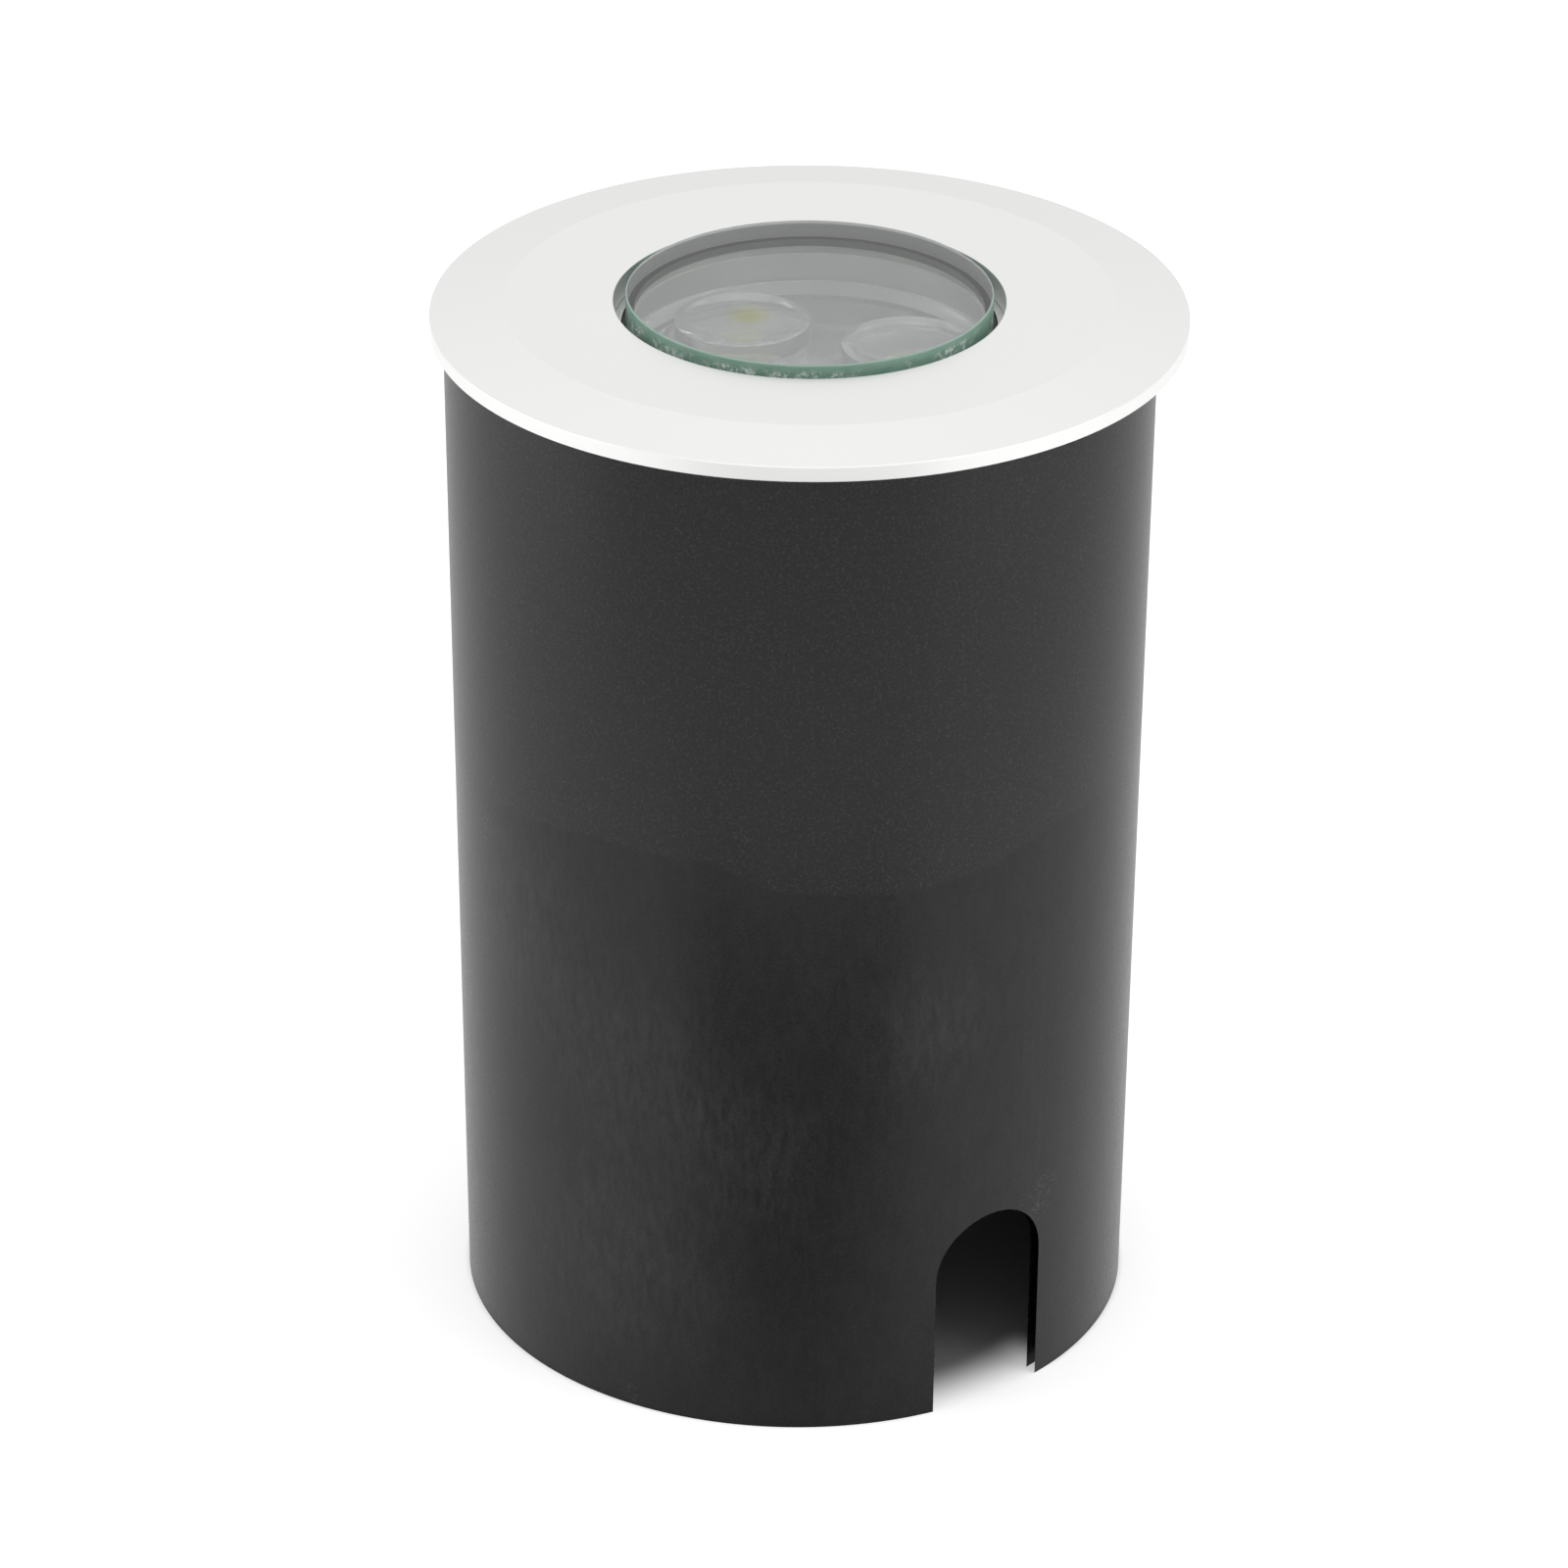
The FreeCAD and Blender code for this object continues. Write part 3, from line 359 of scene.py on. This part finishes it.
black_plastic, shader, signal = new_finish("black_moulded_plastic")
place = place_of(signal)
height = part_of(signal, place, "Z")
share_across = along(signal, place, sideways) / (2 * sleeve_top_radius) + 0.5
border_stops = [(spot, (level, level, level, 1)) for spot, level in border_heights]
border_curve = signal.node("ShaderNodeValToRGB", {"stops": border_stops}, {"Fac": share_across})
ragged = signal.noise(place, 160, detail=3)
border = border_curve * border_span + (ragged - 0.5) * border_waver + grain_border
upper = (height - border).step(-border_blend, border_blend)
lower = 1 - upper
# Painted sheen: the colour is lighter just above the grain's border, fading upwards.
painted_sheen_band = (1 - height.step(band_full, band_end)) * upper
grain = signal.noise(place, 2300, detail=2, roughness=0.6)
# Painted glints: fine specks of the grain made brighter in the colour, most on the upper part.
painted_glints = signal.noise(place, 2700, detail=1).step(0.50, 0.74)
fibre = signal.noise(signal.stretch(place, (1, 1, 0.30), (0.5, 0.3, 0)), 900, detail=3, roughness=0.7)
mottle = signal.noise(signal.stretch(place, (1, 1, 0.5), (0.7, 0.2, 0.4)), 260, detail=4, roughness=0.65)
worn = spots_on_wall(signal, place, worn_patches)
scuffed = spots_on_wall(signal, place, scuffed_spots)
scuff_marks = signal.noise(signal.stretch(place, (1, 1, 2.5), (0.3, 0.9, 0)), 1100, detail=3)
scuffs = scuffed * scuff_marks.step(0.54, 0.66)
hairlines = signal.noise(signal.stretch(place, (60, 60, 900), (0.4, 0.25, 0)), 1.0, detail=2).step(0.76, 0.79)
rubbed = (fibre - 0.42) * (worn * 0.7 + 0.22) * lower
bright = (mottle - 0.5) * lower * 0.014 + rubbed * 0.052 + worn * lower * 0.0040
bright = bright + painted_glints * (upper * 0.015 + 0.004) + painted_sheen_band * 0.0045 + (grain - 0.5) * 0.014
bright = bright + hairlines * 0.010 + scuffs * 0.05 + 0.0038
bright = bright.math("MAXIMUM", bright, 0.002)
feed(signal.tint(bright, blue=1.03), shader, "Base Color")
feed((grain - 0.5) * 0.16 + (fibre - 0.5) * lower * 0.10 + upper * 0.02 + 0.28, shader, "Roughness")
rough_skin = signal.bump(grain, 0.35, 0.00006)
feed(signal.bump(mottle, 0.12, 0.0001, rough_skin), shader, "Normal")
shader.inputs["Specular IOR Level"].default_value = 0.40
coat(sleeve, black_plastic)
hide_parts("mounting_sleeve")
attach(sleeve, "sleeve")


# Front ring.  Aluminium, faced flat round the glass and turned to a shallow slope outside that, then
# matt anodised in its natural silver.  Its screws come from below, so nothing breaks its face.
ring_low, ring_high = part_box("front_ring")
ring_radius = min(ring_high.x, ring_high.y, -ring_low.x, -ring_low.y)
ring_rim = 0.0022
ring_crease = 0.0443
ring_hole = 0.0284
ring_edge = 0.00014
ring_sharp_angle = 15
# The crease between flat and slope is only a few degrees, and has to stay a line.
ring_smooth_angle = 2.5
fine_steps = 256

ring = turn_profile("ring_turning", [
    (ring_hole, ring_low.z),
    (ring_radius, ring_low.z),
    (ring_radius, ring_low.z + ring_rim),
    (ring_crease, ring_high.z),
    (ring_hole, ring_high.z),
], steps=fine_steps)
soften(ring, ring_edge, ring_sharp_angle)
bpy.ops.object.shade_smooth_by_angle(angle=math.radians(ring_smooth_angle))


def turning_marks(signal, place, scale):
    """The fine circles that a lathe leaves round the lamp's axis."""
    flat_place = signal.stretch(place, (1, 1, 0))
    radius = signal.node("ShaderNodeVectorMath", {"operation": "LENGTH"}, {0: flat_place}, output="Value")
    sockets = {"W": radius, "Scale": scale, "Detail": 2.0}
    return signal.node("ShaderNodeTexNoise", {"noise_dimensions": "1D"}, sockets)


satin, shader, signal = new_finish("anodised_aluminium")
place = place_of(signal)
circles = turning_marks(signal, place, 5200.0)
skin = signal.noise(place, 2400, detail=2)
cloud = signal.noise(place, 45, detail=3)
tone = (cloud - 0.5) * 0.012 + (skin - 0.5) * 0.012 + 0.916
feed(signal.tint(tone, 0.998, 0.99), shader, "Base Color")
feed((circles - 0.5) * 0.05 + (skin - 0.5) * 0.06 + 0.36, shader, "Roughness")
feed(signal.bump(circles, 0.04, 0.00002, signal.bump(skin, 0.05, 0.00003)), shader, "Normal")
shader.inputs["Metallic"].default_value = 1.0
coat(ring, satin)
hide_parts("front_ring")
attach(ring, "lamp")


# Front glass.  A toughened float-glass disc, clear through its faces and sea green through its ground
# edge, bedded in silicone in its flange.  It stands a little proud of the ring.
glass_low, glass_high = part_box("front_glass")
glass_radius = (glass_high.x - glass_low.x) / 2
glass_proud = glass_high.z - ring_high.z
glass_arris = 0.0002
glass_smooth_angle = 20
lit_depth = 0.0022
level_normal = 0.9

glass = turn_profile("glass_disc", [
    (0, glass_low.z),
    (glass_radius - glass_arris, glass_low.z),
    (glass_radius, glass_low.z + glass_arris),
    (glass_radius, glass_high.z - glass_arris),
    (glass_radius - glass_arris, glass_high.z),
    (0, glass_high.z),
], closed=False, steps=fine_steps)
bpy.ops.object.shade_smooth_by_angle(angle=math.radians(glass_smooth_angle))


def let_light_through(finish, shader, share):
    """Lamps shine through the clear piece instead of leaving a black shadow behind it."""
    signal = Signal(finish.node_tree)
    is_shadow = signal.node("ShaderNodeLightPath", {}, {}, output="Is Shadow Ray")
    clear = signal.node("ShaderNodeBsdfTransparent", {}, {"Color": (share, share, share, 1)})
    solid = Signal(finish.node_tree, shader.outputs["BSDF"])
    both = signal.node("ShaderNodeMixShader", {}, {0: is_shadow, 1: solid, 2: clear})
    feed(both, finish.node_tree.nodes["Material Output"], "Surface")


clear_glass, shader, signal = new_finish("clear_float_glass")
dust = signal.noise(place_of(signal), 900, detail=2).step(0.66, 0.8)
feed(dust * 0.03, shader, "Roughness")
shader.inputs["Base Color"].default_value = (0.96, 0.985, 0.975, 1)
shader.inputs["Transmission Weight"].default_value = 1.0
shader.inputs["IOR"].default_value = 1.52
let_light_through(clear_glass, shader, 0.9)

green_edge, shader, signal = new_finish("ground_green_glass_edge")
place = place_of(signal)
height = part_of(signal, place, "Z")
# White speckles along the edge near the ring, in the colour and as relief.
edge_speckles = signal.noise(place, 900, detail=4, roughness=0.75).step(0.46, 0.62)
patches = signal.noise(place, 120, detail=2).step(0.38, 0.55)
near_ring = 1 - (height - (glass_high.z - glass_proud)).step(-0.0003, 0.0005)
streak = signal.noise(signal.stretch(place, (1, 1, 3)), 420, detail=3)
pale = edge_speckles * near_ring * patches
arris_line = (height - (glass_high.z - glass_arris)).step(-0.0001, 0.0001)
# Seen from inside, the edge is painted pale along its top as painted light, and grey below it.
lit_top = (height - glass_high.z).step(-lit_depth, -glass_proud)
sea_green = signal.mix(streak, (0.16, 0.32, 0.24, 1), (0.31, 0.46, 0.38, 1))
edge_green = signal.mix(arris_line, sea_green, (0.34, 0.46, 0.40, 1))
outside_color = signal.mix(pale, edge_green, (0.80, 0.85, 0.82, 1))
inside_color = signal.mix(lit_top, (0.28, 0.29, 0.285, 1), (0.85, 0.88, 0.86, 1))
from_inside = signal.node("ShaderNodeNewGeometry", {}, {}, output="Backfacing")
feed(signal.mix(from_inside, outside_color, inside_color), shader, "Base Color")
feed(0.32 + streak * 0.15 + pale * 0.3, shader, "Roughness")
feed(signal.bump(edge_speckles, 0.25, 0.0001), shader, "Normal")
shader.inputs["IOR"].default_value = 1.52
let_light_through(green_edge, shader, 0.6)

glass_finishes = [clear_glass, green_edge]
coat(glass, *glass_finishes)
for face in glass.data.polygons:
    shown = clear_glass if abs(face.normal.z) > level_normal else green_edge
    face.material_index = glass_finishes.index(shown)
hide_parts("front_glass")
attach(glass, "lamp")


# Lamp housing.  Die-cast aluminium with upright cooling fins and a bored inside, whose wall is what
# shows grey under the glass.  It keeps the machined shape of its solid, as the chips and all the
# pieces after them do.
facet_weld = 2e-6
facet_smooth_angle = 28


def join_facets(node, name):
    """A copy of a CAD node with its facets merged and its round walls shaded smooth."""
    bpy.ops.object.select_all(action="DESELECT")
    piece = bpy.data.objects.new(name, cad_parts[node].data.copy())
    bpy.context.scene.collection.objects.link(piece)
    piece.select_set(True)
    bpy.context.view_layer.objects.active = piece
    bpy.ops.object.mode_set(mode="EDIT")
    bpy.ops.mesh.select_all(action="SELECT")
    bpy.ops.mesh.remove_doubles(threshold=facet_weld)
    bpy.ops.mesh.tris_convert_to_quads()
    bpy.ops.object.mode_set(mode="OBJECT")
    bpy.ops.object.shade_smooth_by_angle(angle=math.radians(facet_smooth_angle))
    apply_modifier(piece, "WEIGHTED_NORMAL", keep_sharp=True, weight=100)
    return piece


def finish_node(node, name, finish):
    """Put a piece with this name and finish in the place of a CAD node of the lamp."""
    piece = join_facets(node, name)
    coat(piece, finish)
    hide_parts(node)
    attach(piece, "lamp")


cast_metal, shader, signal = new_finish("cast_aluminium")
place = place_of(signal)
pits = signal.noise(place, 1400, detail=3)
cloud = signal.noise(place, 60, detail=3)
tone = (cloud - 0.5) * 0.05 + (pits - 0.5) * 0.05 + 0.42
feed(signal.tint(tone, 1.01, 1.01), shader, "Base Color")
feed(0.52 + (pits - 0.5) * 0.2, shader, "Roughness")
feed(signal.bump(pits, 0.2, 0.00008), shader, "Normal")
shader.inputs["Metallic"].default_value = 0.6
finish_node("lamp_housing", "housing_casting", cast_metal)


# Triple lens.  One clear acrylic moulding, held up against a shoulder of the housing: a shallow dish
# with a raised rim, and three collimating cells, each with a soft bowl in its top and a pocket over
# its chip.
lens_low, lens_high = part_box("triple_lens")
lens_radius = (lens_high.x - lens_low.x) / 2
lens_rim_width = 0.0016
lens_rim_rise = 0.0020
lens_floor = 0.0020
lens_edge = 0.00025
lens_sharp_angle = 32
cell_rise = 0.0006
cell_radius = 0.0100
cell_edge = 0.0012
cell_depth = 0.0100
cell_foot_radius = 0.0050
cell_steps = 96
bowl_depth = 0.0010
bowl_steps = 8
pocket_radius = 0.0037
pocket_depth = 0.0040
glow_aside = 0.0010
glow_behind = 0.0035
glow_below = 0.0007
painted_phosphor_reach = 0.0042
edge_normal_low = 0.2
edge_normal_high = 0.93

rim_top = lens_high.z - cell_rise
rim_inside = lens_radius - lens_rim_width
dish_top = rim_top - lens_rim_rise
dish_foot = dish_top - lens_floor
lens = turn_profile("lens_moulding", [
    (0, dish_foot),
    (rim_inside, dish_foot),
    (rim_inside, lens_low.z),
    (lens_radius, lens_low.z),
    (lens_radius, rim_top),
    (rim_inside, rim_top),
    (rim_inside, dish_top),
    (0, dish_top),
], closed=False)

cell_foot = lens_high.z - cell_depth
pocket_top = cell_foot + pocket_depth
bowl_radius = cell_radius - cell_edge
cell_corners = [
    (0, pocket_top),
    (pocket_radius, pocket_top),
    (pocket_radius, cell_foot),
    (cell_foot_radius, cell_foot),
    (cell_radius - lens_edge, dish_foot),
    (cell_radius, dish_foot + lens_edge),
    (cell_radius, lens_high.z),
]
for step in range(bowl_steps, -1, -1):
    share = step / bowl_steps
    cell_corners.append((bowl_radius * share, lens_high.z - bowl_depth * (1 - share ** 3)))
cell_middles = []
for number in (1, 2, 3):
    chip_low, chip_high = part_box(f"led_chip_{number}")
    cell_middle = ((chip_low + chip_high) / 2).to_2d()
    cell_middles.append(cell_middle)
    cell = turn_profile("cell", cell_corners, cell_middle, closed=False, steps=cell_steps)
    apply_modifier(lens, "BOOLEAN", object=cell, operation="UNION", solver="EXACT")
    bpy.data.objects.remove(cell)
soften(lens, lens_edge, lens_sharp_angle)


def acrylic(name, clearness, color, roughness, painted_phosphor_point=None):
    """Moulded acrylic; at the painted phosphor point a painted image of the phosphor's yellow goes into the
    colour.
    """
    finish, shader, signal = new_finish(name)
    place = place_of(signal)
    flow = signal.noise(place, 180, detail=2)
    feed(flow * 0.06 + roughness, shader, "Roughness")
    shader.inputs["Base Color"].default_value = color
    if painted_phosphor_point is not None:
        glow = cloud_round(signal, place, painted_phosphor_point, painted_phosphor_reach)
        feed(signal.mix(glow, color, (0.92, 0.87, 0.12, 1)), shader, "Base Color")
    shader.inputs["Transmission Weight"].default_value = clearness
    shader.inputs["IOR"].default_value = 1.49
    let_light_through(finish, shader, 0.95)
    return finish


def acrylic_of(face):
    """The acrylic that a face of the lens shows."""
    from_axis = face.center.to_2d().length
    from_cell = min((face.center.to_2d() - middle).length for middle in cell_middles)
    if edge_normal_low < face.normal.z < edge_normal_high and face.center.z > dish_top + lens_edge:
        return painted_glint_edge
    if from_axis > rim_inside - lens_edge and face.center.z > dish_top:
        return frosted_rim
    if from_cell < pocket_radius and abs(face.center.z - pocket_top) < lens_edge:
        return lit_pocket
    return clear_lens


# A painted image of the phosphor: a soft yellow spot in the left cell's bowl, put into the colour at a fixed
# place.
painted_phosphor_point = cell_middles[0].to_3d() + sideways * glow_aside + onward * glow_behind
painted_phosphor_point.z = lens_high.z - glow_below
clear_lens = acrylic("clear_acrylic", 0.82, (0.93, 0.94, 0.94, 1), 0.05, painted_phosphor_point)
frosted_rim = acrylic("frosted_acrylic", 0.40, (0.95, 0.96, 0.96, 1), 0.16)
# The pockets over the chips are painted pale yellow, a painted image of the phosphor under them.
lit_pocket = acrylic("phosphor_lit_acrylic", 0.65, (0.93, 0.91, 0.60, 1), 0.30)
# The lens's top edges are painted near white and opaque, as painted glints.
painted_glint_edge = acrylic("painted_glint_acrylic", 0.0, (0.98, 0.99, 0.98, 1), 0.12)
lens_finishes = [clear_lens, frosted_rim, lit_pocket, painted_glint_edge]
coat(lens, *lens_finishes)
for face in lens.data.polygons:
    face.material_index = lens_finishes.index(acrylic_of(face))
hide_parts("triple_lens")
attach(lens, "lamp")


# Chips.  Three light-emitting chips: a white package with a disc of yellow phosphor on its top, soldered
# on the board, one under each lens cell.
disc_depth = 0.0003
disc_blend = 0.00005

chip_finish, shader, signal = new_finish("phosphor_chip")
place = place_of(signal)
speck = signal.noise(place, 3000, detail=2)
height = part_of(signal, place, "Z")
chip_low, chip_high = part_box("led_chip_1")
on_disc = (height - (chip_high.z - disc_depth)).step(-disc_blend, disc_blend)
yellow = signal.mix(speck, (0.86, 0.62, 0.05, 1), (0.95, 0.78, 0.12, 1))
feed(signal.mix(on_disc, (0.8, 0.8, 0.76, 1), yellow), shader, "Base Color")
shader.inputs["Roughness"].default_value = 0.4
for number in (1, 2, 3):
    finish_node(f"led_chip_{number}", f"chip_package_{number}", chip_finish)


# Board.  A round aluminium-core circuit board under white solder mask, whose tracks just show through.
# Three screws hold it on the heat disc.
board_colors = [(0.60, 0.61, 0.60, 1), (0.70, 0.71, 0.70, 1)]


def speckled(name, scale, detail, colors, roughness, spread, relief=None, metallic=0.0):
    """A finish whose grain blends two colours, spreads its roughness and can stand out as relief."""
    finish, shader, signal = new_finish(name)
    grain = signal.noise(place_of(signal), scale, detail)
    feed(signal.mix(grain, *colors), shader, "Base Color")
    feed(grain * spread + roughness, shader, "Roughness")
    if relief is not None:
        feed(signal.bump(grain, *relief), shader, "Normal")
    shader.inputs["Metallic"].default_value = metallic
    return finish


solder_mask = speckled("white_solder_mask", 260, 2, board_colors, 0.35, 0.1)
finish_node("led_board", "board_disc", solder_mask)


# Seals.  Dark silicone beds the glass, and black rubber closes the joints of flange, cover and gland.
# Each is moulded to its seat and squeezed there by the pieces on both sides of it.
silicone = speckled("dark_silicone", 700, 3, [(0.030, 0.042, 0.036, 1), (0.055, 0.070, 0.062, 1)],
                    0.45, 0.2, relief=(0.1, 0.0001))
finish_node("glass_gasket", "glass_bedding", silicone)

black_rubber = speckled("black_rubber", 900, 3, [(0.012, 0.012, 0.012, 1), (0.03, 0.03, 0.03, 1)],
                        0.6, 0.2, relief=(0.15, 0.0001))
finish_node("flange_seal", "flange_seal_ring", black_rubber)
finish_node("cover_seal", "cover_seal_ring", black_rubber)
finish_node("gland_washer", "gland_flat_seal", black_rubber)
finish_node("gland_rubber", "gland_squeeze_rubber", black_rubber)


# Rear cover.  Die-cast aluminium like the housing, faced, and screwed to the housing's foot.  It
# closes the lamp from below and has a boss for the gland.
finish_node("rear_cover", "cover_casting", cast_metal)


# Heat disc and glass flange.  Both are turned from aluminium bar and left bare, so they show the circles
# of the turning.  The disc lies behind the board, and the flange is screwed on the housing.
bored_metal, shader, signal = new_finish("turned_aluminium")
circles = turning_marks(signal, place_of(signal), 3000.0)
feed(signal.tint((circles - 0.5) * 0.12 + 0.66), shader, "Base Color")
feed(0.32 + circles * 0.1, shader, "Roughness")
feed(signal.bump(circles, 0.1, 0.00004), shader, "Normal")
shader.inputs["Metallic"].default_value = 1.0
finish_node("heat_disc", "heat_disc_turning", bored_metal)
finish_node("glass_flange", "glass_flange_turning", bored_metal)


# Screws.  Cap screws of bright stainless steel, with cold-formed heads and rolled threads.  They hold
# the ring, the board, the driver and the rear cover.
stainless, shader, signal = new_finish("stainless_steel")
scuff = signal.noise(place_of(signal), 1800, detail=3)
feed(signal.tint((scuff - 0.5) * 0.1 + 0.58, 0.99, 0.97), shader, "Base Color")
feed(0.3 + scuff * 0.15, shader, "Roughness")
shader.inputs["Metallic"].default_value = 1.0
for node in ("ring_screws", "board_screws", "driver_screws", "cover_screws"):
    finish_node(node, node.replace("screws", "cap_screws"), stainless)


# Spring ring.  An open ring of blackened spring steel with an ear at each end, stamped and hardened.
# It springs into a groove of the housing and keeps disc, board and lens up against their shoulder.
spring_steel = speckled("blackened_spring_steel", 1500, 3, [(0.10, 0.10, 0.11, 1), (0.22, 0.22, 0.23, 1)],
                        0.35, 0.2, metallic=1.0)
finish_node("retaining_ring", "spring_ring", spring_steel)


# Posts.  Turned brass, left bare.  They stand on the rear cover and carry the driver.
brass = speckled("turned_brass", 1500, 3, [(0.60, 0.43, 0.17, 1), (0.76, 0.58, 0.27, 1)],
                 0.25, 0.2, metallic=1.0)
finish_node("driver_posts", "brass_posts", brass)


# Driver.  A constant-current supply, potted in a case of light grey plastic.  Its lugs are screwed
# down on the posts.
case_plastic = speckled("light_grey_plastic", 2200, 2, [(0.50, 0.50, 0.48, 1), (0.58, 0.58, 0.56, 1)],
                        0.45, 0.15, relief=(0.15, 0.00005))
finish_node("led_driver", "driver_case", case_plastic)


# Leads.  Stranded copper in red and in black insulation, from the driver through the disc to the
# board.  The insulation is extruded, which leaves faint streaks along it.
streak_stretch = (1, 1, 0.1)


def insulation(name, dark, light):
    """Smooth plastic with streaks that run upwards, as the leads do."""
    finish, shader, signal = new_finish(name)
    streak = signal.noise(signal.stretch(place_of(signal), streak_stretch), 900, detail=2)
    feed(signal.mix(streak, dark, light), shader, "Base Color")
    feed(0.3 + streak * 0.15, shader, "Roughness")
    return finish


red_skin = insulation("red_insulation", (0.42, 0.02, 0.02, 1), (0.55, 0.04, 0.03, 1))
black_skin = insulation("black_insulation", (0.01, 0.01, 0.01, 1), (0.03, 0.03, 0.03, 1))
finish_node("lead_red", "red_lead", red_skin)
finish_node("lead_black", "black_lead", black_skin)


# Cable gland.  A body and a dome nut of black nylon, both moulded with a slight shine.  The body is
# screwed into the boss of the rear cover, and the nut squeezes the rubber inside it.
nylon = speckled("black_nylon", 1800, 3, [(0.018, 0.018, 0.018, 1), (0.034, 0.034, 0.034, 1)],
                 0.38, 0.15, relief=(0.12, 0.00006))
finish_node("gland_body", "gland_body_moulding", nylon)
finish_node("gland_nut", "gland_dome_nut", nylon)


# Studio floor.  A pale seamless sheet that glows white round the sleeve.  In front of the sleeve it is
# painted grey as painted shade, which the mirroring pieces show, and inside the sleeve it is painted
# dark as painted shadow, with a painted pool of light just inside each slot, where the slots let a little
# light in.
floor_size = 6.0
foot_margin = 0.001
slot_light_depth = 0.011
slot_light_half = 0.010
slot_light_end = 0.016
front_spread = 1.3
front_start = -0.03
front_full = 0.12
front_fade = 0.30
front_end = 0.37
sheet_white = (0.92, 0.92, 0.92, 1)
painted_shade_front = (0.60, 0.60, 0.60, 1)
painted_shadow_inside = (0.36, 0.36, 0.36, 1)
sheet_glow = 0.85


def kinds_of_ray(signal):
    """Two signals: 1 for the camera's own rays, and 1 for mirrored rays and those through glass."""
    camera_ray = signal.node("ShaderNodeLightPath", {}, {}, output="Is Camera Ray")
    glossy_ray = signal.node("ShaderNodeLightPath", {}, {}, output="Is Glossy Ray")
    passing_ray = signal.node("ShaderNodeLightPath", {}, {}, output="Is Transmission Ray")
    return camera_ray, glossy_ray.math("MAXIMUM", glossy_ray, passing_ray)


bpy.ops.object.select_all(action="DESELECT")
bpy.ops.mesh.primitive_plane_add(size=floor_size, location=(0, 0, cad_box[0][2]))
floor = bpy.context.object
floor.name = "studio_floor"
floor_finish, shader, signal = new_finish("pale_floor")
shader.inputs["Roughness"].default_value = 0.9
shader.inputs["Specular IOR Level"].default_value = 0.0
place = place_of(signal)
radius = distance_to(signal, signal.stretch(place, (1, 1, 0)), (sleeve_middle.x, sleeve_middle.y, 0))
foot_outside = sleeve_foot_radius + foot_margin
# Inside the foot the sheet is painted dark as painted shadow, except a painted pool of light reaching in at
# each slot.
beyond_foot = radius.step(sleeve_foot_radius - sleeve_wall, foot_outside)
painted_slot_light = radius.step(sleeve_foot_radius - slot_light_depth, foot_outside)
from_slot = part_of(signal, place, "X") - sleeve_middle.x
beside_slot = from_slot.unsigned().step(slot_light_half, slot_light_end)
outside = painted_slot_light + (beyond_foot - painted_slot_light) * beside_slot
aside = along(signal, place, sideways)
ahead = along(signal, place, -onward)
# The grey in front is painted shade: the camera's rays get more glow there, so only the mirroring pieces show
# it.
facing = ahead - aside.unsigned() * front_spread
front = facing.step(front_start, front_full) * (1 - ahead.step(front_fade, front_end))
pale = signal.mix(front, sheet_white, painted_shade_front)
feed(signal.mix(outside, painted_shadow_inside, pale), shader, "Base Color")
camera_ray, indirect_ray = kinds_of_ray(signal)
glow_for_camera = camera_ray * (front * 0.42 + 0.58)
glow_in_mirrors = indirect_ray * (1 - front) * 0.38
glow_share = outside * (glow_for_camera + glow_in_mirrors)
glow = signal.node("ShaderNodeEmission", {}, {"Color": (1, 1, 1, 1), "Strength": sheet_glow})
dark = signal.node("ShaderNodeEmission", {}, {"Color": (0, 0, 0, 1), "Strength": 0.0})
extra = signal.node("ShaderNodeMixShader", {}, {0: glow_share, 1: dark, 2: glow})
sheet = Signal(floor_finish.node_tree, shader.outputs["BSDF"])
lit_sheet = signal.node("ShaderNodeAddShader", {}, {0: sheet, 1: extra})
feed(lit_sheet, floor_finish.node_tree.nodes["Material Output"], "Surface")
coat(floor, floor_finish)


# Studio room.  White walls all round, as the metal and the glass mirror them, a little brighter
# towards the ceiling.
room_light = 0.62
mirror_light = 0.16
ceiling_light = 0.30
ceiling_steepness = 0.55

world = bpy.data.worlds.new("studio")
bpy.context.scene.world = world
world.use_nodes = True
sky = Signal(world.node_tree)
background = world.node_tree.nodes["Background"]
background.inputs["Color"].default_value = (1, 1, 1, 1)
way = sky.node("ShaderNodeTexCoord", {}, {}, output="Generated")
steepness = part_of(sky, way, "Z")
steepness = steepness.math("MAXIMUM", steepness, 0.0)
steepness = steepness.math("MINIMUM", steepness, ceiling_steepness)
camera_ray, indirect_ray = kinds_of_ray(sky)
soft_level = indirect_ray * (steepness * ceiling_light + mirror_light) + room_light
feed(camera_ray + (1 - camera_ray) * soft_level, background, "Strength")


# Studio lamps.  Three large soft boxes that face the middle of the light: one at each side, and a weak
# one above.
lamp_target = Vector((0, 0, 0.08))


def soft_lamp(name, place, size, power):
    """A square soft box, turned to the lamps' target."""
    lamp_data = bpy.data.lights.new(name, "AREA")
    lamp_data.shape = "SQUARE"
    lamp_data.size = size
    lamp_data.energy = power
    lamp = bpy.data.objects.new(name, lamp_data)
    bpy.context.scene.collection.objects.link(lamp)
    aim = (lamp_target - place).to_track_quat("-Z", "Y")
    lamp.matrix_world = Matrix.Translation(place) @ aim.to_matrix().to_4x4()


left_place = -sideways * 1.4 - onward * 0.1 + upward * 0.55
right_place = sideways * 1.3 - onward * 0.6 + upward * 0.75
top_place = onward * 0.2 + upward * 1.7
soft_lamp("left_box", left_place, 1.2, 4.5)
soft_lamp("right_box", right_place, 1.3, 6)
soft_lamp("top_box", top_place, 1.2, 1.5)

bpy.context.scene.view_settings.view_transform = "Standard"
